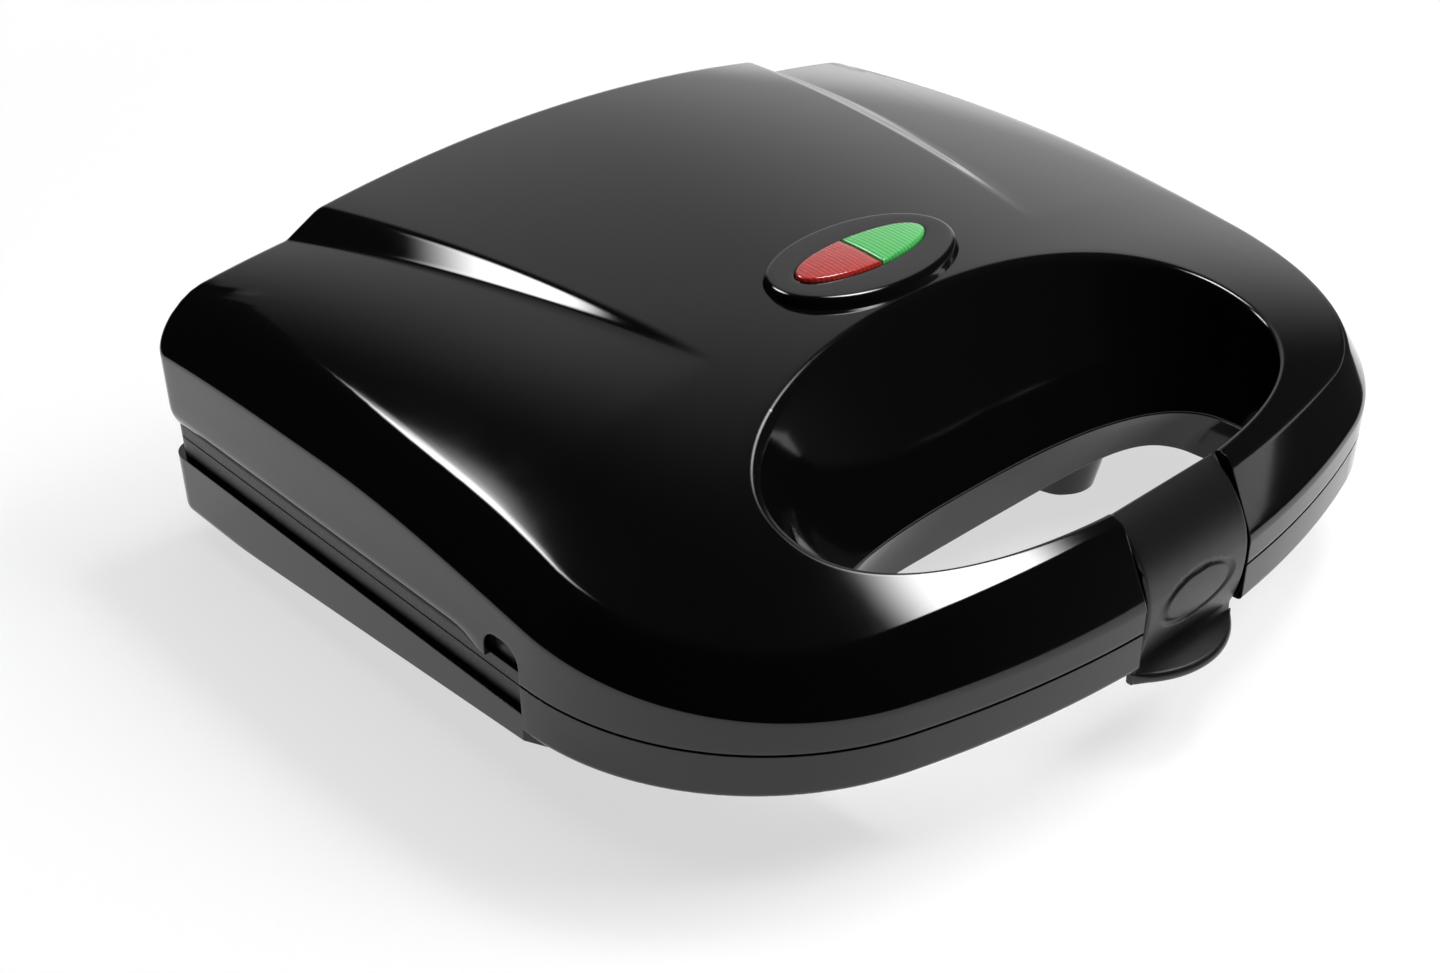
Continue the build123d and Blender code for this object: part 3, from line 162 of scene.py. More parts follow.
# Nitrile rubber, moulded: matte, dark grey where dust and handling lighten it, with a fine pitted grain.
rubber = new_material("moulded_nitrile_rubber", "#1a1a1b", 0.75, IOR=1.52)
surface_grain(rubber, size=0.8, height=0.03, roughness=(0.62, 0.85), detail=4.0, tints=("#131314", "#29292a"))


def spot(x, depth, z):
    """A place in metres from its x, depth and height in mm."""
    return x * MM, (BACK_WALL_Y - depth) * MM, z * MM


def bridge(made, rings):
    """Faces all round between each ring of vertices and the next, which may be the same point all round."""
    for low, high in zip(rings, rings[1:]):
        for i in range(len(low)):
            j = (i + 1) % len(low)
            made.faces.new(list(dict.fromkeys((low[i], low[j], high[j], high[i]))))


def mesh_from(made, name):
    """The mesh of a finished bmesh, with its normals outward."""
    bmesh.ops.recalc_face_normals(made, faces=made.faces)
    mesh = bpy.data.meshes.new(name)
    made.to_mesh(mesh)
    made.free()
    return mesh


def smooth_below(mesh, angle):
    """Shades a mesh smooth, except over edges that turn by more than this angle in degrees."""
    mesh.shade_smooth()
    mesh.set_sharp_from_angle(angle=radians(angle))
    return mesh


def turned_mesh(name, profile, steps):
    """A mesh turned about Z from a (radius, z) profile in mm, closed where the radius is 0."""
    made = bmesh.new()
    rings = []
    for radius, z in profile:
        if radius == 0:
            rings.append([made.verts.new((0, 0, z * MM))] * steps)
            continue
        turn = [2 * pi * step / steps for step in range(steps)]
        rings.append([made.verts.new((radius * cos(a) * MM, radius * sin(a) * MM, z * MM)) for a in turn])
    bridge(made, rings)
    return smooth_below(mesh_from(made, name), 50)


def link_object(name, mesh):
    obj = bpy.data.objects.new(name, mesh)
    bpy.context.scene.collection.objects.link(obj)
    return obj


def keep_result(obj, modifier):
    """Makes the shape that a modifier gives an object its own mesh."""
    evaluated = obj.evaluated_get(bpy.context.evaluated_depsgraph_get())
    mesh = bpy.data.meshes.new_from_object(evaluated)
    obj.modifiers.remove(modifier)
    obj.data = mesh


def repeat_piece(name, unit, places, material, seed, down=False):
    """One mesh with the unit object at each (x, depth, z) place, turned at random about Z. Removes the unit."""
    spots = bpy.data.meshes.new(name + "_places")
    spots.from_pydata([spot(*place) for place in places], [], [])
    obj = link_object(name, spots)
    tree = bpy.data.node_groups.new(name + "_set", "GeometryNodeTree")
    tree.interface.new_socket("Places", in_out="INPUT", socket_type="NodeSocketGeometry")
    unit_socket = tree.interface.new_socket("Unit", in_out="INPUT", socket_type="NodeSocketObject")
    turn_socket = tree.interface.new_socket("Half turn over", in_out="INPUT", socket_type="NodeSocketFloat")
    seed_socket = tree.interface.new_socket("Seed", in_out="INPUT", socket_type="NodeSocketInt")
    tree.interface.new_socket("Pieces", in_out="OUTPUT", socket_type="NodeSocketGeometry")
    start = add_node(tree, "NodeGroupInput")
    info = add_node(tree, "GeometryNodeObjectInfo", {"transform_space": "ORIGINAL"},
                    {"Object": start.outputs["Unit"]})
    spin = add_node(tree, "FunctionNodeRandomValue", {"data_type": "FLOAT"},
                    {2: 0.0, 3: 2 * pi, "Seed": start.outputs["Seed"]})
    angles = add_node(tree, "ShaderNodeCombineXYZ", inputs={
        "X": start.outputs["Half turn over"], "Z": spin.outputs[1]})
    copies = add_node(tree, "GeometryNodeInstanceOnPoints", inputs={
        "Points": start.outputs["Places"], "Instance": info.outputs["Geometry"],
        "Rotation": angles.outputs["Vector"]})
    solid = add_node(tree, "GeometryNodeRealizeInstances", inputs={"Geometry": copies.outputs["Instances"]})
    coloured = add_node(tree, "GeometryNodeSetMaterial", inputs={
        "Geometry": solid.outputs["Geometry"], "Material": material})
    add_node(tree, "NodeGroupOutput", inputs={0: coloured.outputs["Geometry"]})
    modifier = obj.modifiers.new("set", "NODES")
    modifier.node_group = tree
    modifier[unit_socket.identifier] = unit
    modifier[turn_socket.identifier] = pi if down else 0.0
    modifier[seed_socket.identifier] = seed
    keep_result(obj, modifier)
    bpy.data.meshes.remove(spots)
    bpy.data.objects.remove(unit)
    return obj


foot_profile = [(0, FOOT_HOLLOW_H), (FOOT_HOLLOW_R - FOOT_HOLLOW_H, FOOT_HOLLOW_H), (FOOT_HOLLOW_R, 0)]
foot_profile += [(FOOT_R - FOOT_EDGE * (1 - sin(a)), FOOT_EDGE * (1 - cos(a)))
                 for a in np.linspace(0, pi / 2, 7)]
foot_profile += [(FOOT_R, FOOT_H), (0, FOOT_H)]
foot_unit = link_object("foot_unit", turned_mesh("foot_unit", foot_profile, 48))
feet = repeat_piece("moulded_feet", foot_unit, [(x, depth, 0) for x, depth in FOOT_PLACES], rubber, seed=1)
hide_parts("rubber_feet")
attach(feet, "base")


# Base housing.
# The lower shell is one moulding of gloss black ABS, with the legs, the lower half of the handle and the
# hinge ears in the same piece. The polished mould leaves a mirror-like face with a very slight waviness and
# no texture.
def dress(material, *names):
    """Gives CAD nodes their finish."""
    for name in names:
        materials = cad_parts[name].data.materials
        materials.clear()
        materials.append(material)


# ABS, injection moulded in a polished mould: deep black with a clear reflection, broken only by the slight
# waviness that cooling leaves, a few millimetres long, and by hairline wiping marks that show as soft haze.
gloss_black = new_material("polished_mould_black_abs", "#070708", 0.07, IOR=1.52)
surface_grain(gloss_black, size=7.0, height=0.0006, roughness=(0.062, 0.08))
dress(gloss_black, "base_housing")


# Housing screws.
# Six zinc-plated pan-head screws with a cross recess, driven from below through the shell's posts into those of
# the inner frame. Their heads lie in round pockets in the underside.
HEAD_R = 2.8
HEAD_H = 1.4
HEAD_EDGE = 0.6
SHANK_R = 1.5
RECESS_W = 0.7
RECESS_L = 3.0
RECESS_DEEP = 0.8
BASE_SHANK_L = 8.0
BODY_POST_X = 103.1
BODY_POST_DEPTHS = (18.0, 112.0)
ARM_POST_X = 88.0
ARM_POST_DEPTH = 150.0
BASE_BODY_SEATS_Z = (8.9, 13.5)
BASE_ARM_SEAT_Z = 20.5

# Carbon steel, cold headed and zinc plated: bright grey-blue with the faint clouding that passivation leaves.
zinc = new_material("zinc_plated_steel", "#c3c6cb", 0.34, Metallic=1.0)
surface_grain(zinc, size=1.2, height=0.01, roughness=(0.27, 0.45), edge=0.1, tints=("#b4b9c0", "#d0d0cc"))


def apply_boolean(obj, other, operation):
    """Joins another object's shape to this one's, or cuts it out, and removes the other object."""
    modifier = obj.modifiers.new("shape", "BOOLEAN")
    modifier.operation = operation
    modifier.solver = "EXACT"
    modifier.object = other
    keep_result(obj, modifier)
    bpy.data.objects.remove(other)


def block_mesh(name, low, high):
    """A box between two corners in mm, x, y and z, used as a cutter."""
    made = bmesh.new()
    bmesh.ops.create_cube(made, size=1.0)
    for vert in made.verts:
        vert.co = [(a + (b - a) * (c + 0.5)) * MM for a, b, c in zip(low, high, vert.co)]
    return mesh_from(made, name)


def post_places(body_seats_z, arm_seat_z):
    """The six screws' (x, depth, z): two on each side of the body, then one in each arm of the handle."""
    body = [(x, depth, z) for x in (-BODY_POST_X, BODY_POST_X)
            for depth, z in zip(BODY_POST_DEPTHS, body_seats_z)]
    return body + [(x, ARM_POST_DEPTH, arm_seat_z) for x in (-ARM_POST_X, ARM_POST_X)]


def screw_unit(shank_l):
    """A screw standing on its seat at z = 0, head up and shank down, with its cross recess cut."""
    profile = [(0, -shank_l), (SHANK_R, -shank_l), (SHANK_R, 0), (HEAD_R, 0)]
    for a in np.linspace(0, pi / 2, 6):
        profile.append((HEAD_R - HEAD_EDGE * (1 - cos(a)), HEAD_H - HEAD_EDGE * (1 - sin(a))))
    profile.append((0, HEAD_H))
    screw = link_object("screw_unit", turned_mesh("screw_unit", profile, 32))
    for size_x, size_y in ((RECESS_L, RECESS_W), (RECESS_W, RECESS_L)):
        low = (-size_x / 2, -size_y / 2, HEAD_H - RECESS_DEEP)
        cutter = link_object("recess", block_mesh("recess", low, (size_x / 2, size_y / 2, HEAD_H + 1)))
        apply_boolean(screw, cutter, "DIFFERENCE")
    screw.data.set_sharp_from_angle(angle=radians(35))
    return screw


base_places = post_places(BASE_BODY_SEATS_Z, BASE_ARM_SEAT_Z)
base_screws = repeat_piece("housing_screws", screw_unit(BASE_SHANK_L), base_places, zinc, seed=4, down=True)
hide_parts("base_screws")
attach(base_screws, "base")


# Leads and fittings inside the base.
# A steatite-bodied thermostat, a plated thermal fuse, a nylon terminal block and the leads between them in
# glass-fibre sleeves. A nylon clamp holds the cord, behind a rubber bush in the back wall.

# Steatite ceramic, pressed and fired unglazed: warm off-white, dead matte, very finely speckled.
ceramic = new_material("fired_steatite", "#ddd6c8", 0.75, IOR=1.6)
surface_grain(ceramic, size=0.6, height=0.02, roughness=(0.68, 0.85), detail=3.0, tints=("#d2c9b8", "#e6e0d4"))
dress(ceramic, "thermostat")

# Tinned brass can of the fuse, drawn: a warm satin metal.
tinned = new_material("drawn_tinned_brass", "#c9b98a", 0.35, Metallic=1.0)
surface_grain(tinned, size=0.7, height=0.008, roughness=(0.28, 0.45), edge=0.15)
dress(tinned, "thermal_fuse")

# Nylon 66, moulded: milky white with a soft surface light and a faint satin grain.
nylon = new_material(
    "moulded_nylon", "#e4e1d8", 0.42, IOR=1.53, Subsurface_Weight=0.15, Subsurface_Scale=0.6 * MM)
surface_grain(nylon, size=1.0, height=0.012, roughness=(0.36, 0.5))
dress(nylon, "terminal_block", "cord_clamp", "lamp_holder")

# Braided glass-fibre sleeve: off-white threads 0.5 mm apart, crossing at a slant round the wire.
THREAD_PITCH = 0.5
THREAD_SLANT = radians(45)
THREAD_WANDER = 0.4
# A wave texture has one band in this length at a scale of 1
WAVE_BAND = 2 * pi / 20
sleeve = new_material("braided_glass_sleeve", "#ded9cc", 0.8, Sheen_Weight=0.2)
tree = sleeve.node_tree
place = add_node(tree, "ShaderNodeTexCoord")
crossings = []
for slant in (THREAD_SLANT, -THREAD_SLANT):
    turned = add_node(tree, "ShaderNodeMapping", inputs={
        "Vector": place.outputs["Object"], "Rotation": (0.0, slant, slant)})
    crossings.append(add_node(tree, "ShaderNodeTexWave", {"bands_direction": "X"}, {
        "Vector": turned.outputs["Vector"], "Scale": WAVE_BAND / (THREAD_PITCH * MM),
        "Distortion": THREAD_WANDER}))
braid = add_node(tree, "ShaderNodeMath", {"operation": "MAXIMUM"}, {
    0: crossings[0].outputs["Fac"], 1: crossings[1].outputs["Fac"]})
apply_pattern(sleeve, braid.outputs["Value"], tints=("#a9a497", "#e6e2d8"), height=0.08)
dress(sleeve, "base_wiring", "lid_wiring")
dress(rubber, "cord_gland")
dress(zinc, "cord_clamp_screws")


# Heating elements and their trays.
# Each plate has a tubular element pressed against its back: a nickel-alloy sheath round a coil, bent in one
# loop. A bright aluminised steel tray behind it throws the heat back, held by two screws through the tray.

# Nickel-alloy sheath, drawn and bright annealed: grey with a faint straw heat tint.
sheath = new_material("annealed_nickel_sheath", "#8d8880", 0.4, Metallic=1.0)
surface_grain(sheath, size=4.0, height=0.01, roughness=(0.34, 0.5), edge=0.1, tints=("#7f7d7c", "#9b8f7c"))
dress(sheath, "lower_heater", "upper_heater")


def lines_along_x(material, pitch, squeeze, detail, roughness, height=None):
    """Lines of noise this far apart in mm, drawn out along X by squeezing that direction."""
    tree = material.node_tree
    place = add_node(tree, "ShaderNodeTexCoord")
    drawn_out = add_node(tree, "ShaderNodeMapping", inputs={
        "Vector": place.outputs["Object"], "Scale": (squeeze, 1.0, 1.0)})
    lines = add_node(tree, "ShaderNodeTexNoise", inputs={
        "Vector": drawn_out.outputs["Vector"], "Scale": 1 / (pitch * MM), "Detail": detail})
    apply_pattern(material, lines.outputs["Fac"], roughness, height=height)


# Aluminised steel sheet, rolled: bright, with fine rolling lines along X about 0.3 mm apart.
rolled = new_material("rolled_aluminised_steel", "#c9cacb", 0.3, Metallic=1.0)
lines_along_x(rolled, pitch=0.3, squeeze=0.02, detail=3.0, roughness=(0.22, 0.42), height=0.004)
dress(rolled, "lower_reflector", "upper_reflector")
dress(zinc, "lower_plate_screws", "upper_plate_screws")


# Inner frames.
# One in each half: a black heat-proof moulding that carries the plate in a recess and closes that half of the
# handle. Only their skirts show in the slot along each side while the machine is shut.

# Glass-filled polyester moulding compound: satin black, a little greyer than the shells, with a fine sparked
# grain.
frame_black = new_material("glass_filled_polyester", "#141415", 0.38, IOR=1.55)
surface_grain(frame_black, size=0.7, height=0.012, roughness=(0.32, 0.48), edge=0.4, detail=3.0)
dress(frame_black, "base_frame", "lid_frame")


# Plates.
# Cast aluminium, 2.25 mm thick, with two pockets in each and a cutting ridge across every pocket. They are
# sprayed with non-stick coating, which rounds their edges, and lie in the frames' recesses.

# PTFE coating with mica, sprayed and baked on aluminium: charcoal, satin, softly pebbled by the spray, with
# tiny pale flakes about half a millimetre apart.
FLAKE_PITCH = 0.55
FLAKE_R = 0.13
coating = new_material("baked_ptfe_coating", "#232426", 0.36, IOR=1.38, Coat_Weight=0.25, Coat_Roughness=0.3)
surface_grain(coating, size=1.1, height=0.02, roughness=(0.3, 0.44), edge=0.8)
tree = coating.node_tree
place = add_node(tree, "ShaderNodeTexCoord")
flakes = add_node(tree, "ShaderNodeTexVoronoi", {"feature": "F1"}, {
    "Vector": place.outputs["Object"], "Scale": 1 / (FLAKE_PITCH * MM), "Randomness": 1.0})
flake_mask = add_node(tree, "ShaderNodeMath", {"operation": "LESS_THAN"}, {
    0: flakes.outputs["Distance"], 1: FLAKE_R / FLAKE_PITCH})
apply_pattern(coating, flake_mask.outputs["Value"], tints=("#1f2022", "#3a3b3d"))
dress(coating, "lower_plate", "upper_plate")


# Hinge.
# Two steel pins at the back, each held by a pair of ears on the base and turning in the lid's knuckle between
# them. The clip's pin in the handle's front is of the same rod.

# Bright drawn steel rod: a clean metal with faint lines along the pin from drawing.
pin_steel = new_material("bright_drawn_steel", "#b9babd", 0.25, Metallic=1.0)
lines_along_x(pin_steel, pitch=0.25, squeeze=0.03, detail=2.0, roughness=(0.18, 0.34))
dress(pin_steel, "hinge_pins", "latch_pin")


# Lid cover.
# The domed upper shell of gloss black ABS, with a raised panel that fades out towards the handle, a sloping
# band down to the walls, and the finger opening. It is one closed skin of columns, each from the wall's bottom
# over the top to the opening's rim, down it and back inside.
HALF_WIDTH = 112.0
HANDLE_DEPTH = 198.8
CORNER_R = 59.7
FRONT_R = 239.2
BACK_CORNER_R = 6.0
CORNER_X = HALF_WIDTH - CORNER_R
FRONT_MID = HANDLE_DEPTH - FRONT_R
CORNER_DEPTH = FRONT_MID + sqrt((FRONT_R - CORNER_R) ** 2 - CORNER_X ** 2)
CORNER_TURN = atan2(CORNER_DEPTH - FRONT_MID, CORNER_X)
DOME_Z = 75.3
DOME_APEX = 37.0
DOME_R_ALONG = 510.0
DOME_R_ACROSS = 400.0
PANEL_BACK_X = 67.0
PANEL_FRONT_X = 47.5
PANEL_FADE = 113.0
STEP = 3.4
STEP_BACK_W = 9.0
STEP_FRONT_W = 2.0
STEP_ROUND = 1.1
SHOULDER_END_X = 116.0
BAND_BACK_Z = 50.3
BAND_FALL = 14.3
BAND_FALL_START = 70.0
BAND_REAR_DROP = 1.7
BAND_REAR_DEPTH = 50.0
BAND_SLOPE = 1.1
BAND_SLOPE_GAIN = 1.0
CREASE_SOFT_BACK = 4.0
CREASE_SOFT_FRONT = 1.6
CREASE_SOFT_DEPTH = 62.0
RIM_DEPTH = 155.5
RIM_X = 68.2
RIM_Y = 32.2
RIM_POWER = 2.2
SEAM_OVAL_DEPTH = 164.5
SEAM_OVAL_X = 60.0
SEAM_OVAL_Y = 22.0
SEAM_OVAL_POWER = 2.6
LID_WALL_Z = 31.1
HANDLE_LID_Z = 30.15
NOTCH_BACK = 119.5
NOTCH_FRONT = 130.0
NOTCH_TOP_Z = 37.6
NOTCH_R = 4.0
SHELL_T = 2.5
ROOF_DROP = 3.3
ROOF_INSIDE_START = 3.1
INSIDE_DROP = 0.8
WALL_TUCK = 1.5
WALL_TUCK_H = 4.5
WALL_TUCK_END = 108.0
FOOT_ROUND = 0.35
BAND_EDGE = 0.8
BACK_EDGE = 2.5
BACK_EDGE_FADE = 14.0
RIM_EDGE = 1.7
BLOCK_HALF = 21.7
# Columns: the stretches of x along the back with the number in each, closer together at the panel's step
BACK_STRETCHES = ((0, 62, 16), (62, 65.2, 4), (65.2, 68.8, 11), (68.8, 74.4, 8), (74.4, 77.8, 10),
                  (77.8, 84, 4), (84, HALF_WIDTH - BACK_CORNER_R, 9))
HAIR = 0.02
RIM_JOIN = radians(12)
RIM_START_PULL = 0.35
BOW = 0.35
BOW_FADE = 80.0
# Rows: how far in the crease is looked for, where it lies if there is none, and how widely rows gather there
CREASE_REACH = 40.0
CREASE_REACH_SHARE = 0.8
CREASE_MOST_SHARE = 0.72
NO_CREASE = 9.0
GATHER_BACK = 7.0
GATHER_FRONT = 1.6
GATHER_MOST_INWARD = 0.4
GATHER_MOST_OUTWARD = 0.6


def smoothstep(value):
    value = np.clip(value, 0.0, 1.0)
    return value * value * (3 - 2 * value)


def drop(radius, reach):
    return radius - np.sqrt(radius ** 2 - reach ** 2)


def dome(x, depth):
    return DOME_Z - drop(DOME_R_ALONG, depth - DOME_APEX) - drop(DOME_R_ACROSS, x)


def soft_ramp(value, span, blend):
    """0 before 0, 1 after span and straight between, with parabolas of half-width blend at both ends."""
    def ease(v):
        return np.where(v < -blend, 0.0, np.where(v > blend, v, (v + blend) ** 2 / (4 * blend)))
    return (ease(value) - ease(value - span)) / span


def panel_step(depth):
    """The centre panel at a depth: what is left of its height, its half width and the width of its step."""
    fade = np.clip(1 - depth / PANEL_FADE, 0.0, 1.0)
    edge = PANEL_FRONT_X + (PANEL_BACK_X - PANEL_FRONT_X) * fade
    return fade, edge, STEP_FRONT_W + (STEP_BACK_W - STEP_FRONT_W) * fade


def roof(x, depth):
    """Height of the top: dome, panel step and shoulder."""
    x = np.abs(x)
    fade, edge, width = panel_step(depth)
    fall = STEP * fade * soft_ramp(x - edge, width, np.minimum(STEP_ROUND, 0.35 * width))
    recover = np.clip((SHOULDER_END_X - x) / (SHOULDER_END_X - edge - width), 0.0, 1.0)
    return dome(x, depth) - fall * np.where(x > edge + width, recover, 1.0)


def band(x, depth):
    """Height of the sloping band, which rises inward from the wall."""
    x = np.abs(x)
    angle = np.arctan2(depth - CORNER_DEPTH, x - CORNER_X)
    from_front = FRONT_R - np.hypot(x, depth - FRONT_MID)
    front_station = FRONT_MID + FRONT_R * (depth - FRONT_MID) / np.hypot(x, depth - FRONT_MID)
    round_corner = (depth > CORNER_DEPTH) & (angle < CORNER_TURN) & (x > CORNER_X)
    ahead = (depth > CORNER_DEPTH) & ~round_corner
    from_corner = CORNER_R - np.hypot(x - CORNER_X, depth - CORNER_DEPTH)
    inset = np.where(ahead, from_front, np.where(round_corner, from_corner, HALF_WIDTH - x))
    corner_station = CORNER_DEPTH + CORNER_R * np.sin(angle)
    station = np.where(ahead, front_station, np.where(round_corner, corner_station, depth))
    low = BAND_BACK_Z - BAND_FALL * smoothstep((station - BAND_FALL_START) / (HANDLE_DEPTH - BAND_FALL_START))
    low = low - BAND_REAR_DROP * np.clip(1 - station / BAND_REAR_DEPTH, 0.0, 1.0) ** 2
    slope = BAND_SLOPE + BAND_SLOPE_GAIN * np.clip(2 * station / HANDLE_DEPTH - 1, 0.0, 1.0) ** 2
    return low + slope * inset


def top(x, depth):
    """Height of the finished top, with the crease between roof and band rounded."""
    soft = CREASE_SOFT_BACK + (CREASE_SOFT_FRONT - CREASE_SOFT_BACK) * smoothstep(depth / CREASE_SOFT_DEPTH)
    high, low = roof(x, depth), band(x, depth)
    near = np.clip(soft - np.abs(high - low), 0.0, None) / soft
    return np.minimum(high, low) - near ** 2 * soft / 4


def half_outline():
    """The plan's right half, from the back's middle to the front's: x, depth, outward normal, wall bottom."""
    rows = []
    for low, high, count in BACK_STRETCHES:
        rows += [(x, 0.0, 0.0, -1.0, LID_WALL_Z) for x in np.linspace(low, high, count, endpoint=False)]
    for angle in np.linspace(-pi / 2, 0, 12, endpoint=False):
        x = HALF_WIDTH - BACK_CORNER_R * (1 - cos(angle))
        rows.append((x, BACK_CORNER_R * (1 + sin(angle)), cos(angle), sin(angle), LID_WALL_Z))
    side = [(depth, LID_WALL_Z) for depth in np.linspace(BACK_CORNER_R, NOTCH_BACK - HAIR, 52)]
    arc = np.linspace(0, pi / 2, 7)
    arch = [(NOTCH_R * (1 - cos(a)), NOTCH_TOP_Z - NOTCH_R * (1 - sin(a))) for a in arc]
    side += [(NOTCH_BACK + away, z) for away, z in arch]
    side += [(NOTCH_FRONT - away, z) for away, z in reversed(arch)]
    side += [(NOTCH_FRONT + HAIR, HANDLE_LID_Z)]
    rows += [(HALF_WIDTH, depth, 1.0, 0.0, z) for depth, z in side]
    for angle in np.linspace(0, CORNER_TURN, 50, endpoint=False):
        x, depth = CORNER_X + CORNER_R * cos(angle), CORNER_DEPTH + CORNER_R * sin(angle)
        rows.append((x, depth, cos(angle), sin(angle), HANDLE_LID_Z))
    block = [x for x in np.linspace(FRONT_R * cos(CORNER_TURN), 0, 34) if abs(x - BLOCK_HALF) > 0.5]
    block = sorted(block + [BLOCK_HALF + HAIR, BLOCK_HALF - HAIR], reverse=True)
    for x in block:
        angle = acos(x / FRONT_R)
        rows.append((x, FRONT_MID + FRONT_R * sin(angle), cos(angle), sin(angle), HANDLE_LID_Z))
    return np.array(rows)


def rim_turn(x, depth):
    """Where a column that starts here meets the opening: the rim oval's own angle, from -90 at the back."""
    last_x = PANEL_FRONT_X + STEP_FRONT_W
    foot_x = PANEL_BACK_X + STEP_BACK_W

    def turn_at(rim_x):
        return -acos((rim_x / RIM_X) ** (RIM_POWER / 2))

    def turn_towards(polar):
        reach = (abs(cos(polar)) / RIM_X) ** RIM_POWER + (abs(sin(polar)) / RIM_Y) ** RIM_POWER
        rim_x = min(max(cos(polar) * reach ** (-1 / RIM_POWER), 0.0), RIM_X)
        return acos((rim_x / RIM_X) ** (RIM_POWER / 2)) * (1 if polar > 0 else -1)

    if depth == 0 and x <= PANEL_BACK_X:
        return turn_at(x * PANEL_FRONT_X / PANEL_BACK_X)
    if depth == 0 and x <= foot_x:
        return turn_at(PANEL_FRONT_X + STEP_FRONT_W * (x - PANEL_BACK_X) / STEP_BACK_W)
    # Round the rest of the rim, evenly at first and then straight across from the outline
    start = atan2(-RIM_DEPTH, foot_x)
    first = turn_at(last_x)
    first_polar = atan2(-RIM_Y * abs(sin(first)) ** (2 / RIM_POWER), last_x)
    polar = atan2(depth - RIM_DEPTH, x)
    if polar >= RIM_JOIN:
        return turn_towards(polar)
    span = RIM_JOIN - start
    share = (polar - start) / span
    blend = ((2 * share ** 3 - 3 * share ** 2 + 1) * first_polar
             + (share ** 3 - 2 * share ** 2 + share) * RIM_START_PULL * span
             + (-2 * share ** 3 + 3 * share ** 2) * RIM_JOIN + (share ** 3 - share ** 2) * span)
    return turn_towards(blend)


def oval_point(turn, semi_x, semi_y, power, depth):
    across = np.abs(np.cos(turn)) ** (2 / power) * semi_x
    along = np.abs(np.sin(turn)) ** (2 / power) * semi_y * np.sign(np.sin(turn))
    return across, depth + along


def column_path(row, turn, samples=400):
    """Plan points from the outline to the rim: lengthways on the panel, straight inward at first elsewhere."""
    x, depth, nx, nd = row[:4]
    end_x, end_depth = oval_point(turn, RIM_X, RIM_Y, RIM_POWER, RIM_DEPTH)
    share = np.linspace(0, 1, samples)
    if depth == 0 and x <= PANEL_BACK_X + STEP_BACK_W:
        depths = share * end_depth
        _, edge, width = panel_step(depths)
        on_panel, on_step = edge * x / PANEL_BACK_X, edge + width * (x - PANEL_BACK_X) / STEP_BACK_W
        return np.stack([on_panel if x <= PANEL_BACK_X else on_step, depths], axis=1)
    length = sqrt((end_x - x) ** 2 + (end_depth - depth) ** 2)
    bow = BOW * float(smoothstep((depth - BACK_CORNER_R) / BOW_FADE))
    mid_x, mid_depth = x - nx * bow * length, depth - nd * bow * length
    a, b, c = (1 - share) ** 2, 2 * share * (1 - share), share ** 2
    return np.stack([a * x + b * mid_x + c * end_x, a * depth + b * mid_depth + c * end_depth], axis=1)


def bezier(first, middle, last, count):
    """Points of a three-point curve, without its last one."""
    share = np.linspace(0, 1, count, endpoint=False)[:, None]
    return (1 - share) ** 2 * first + 2 * share * (1 - share) * middle + share ** 2 * last


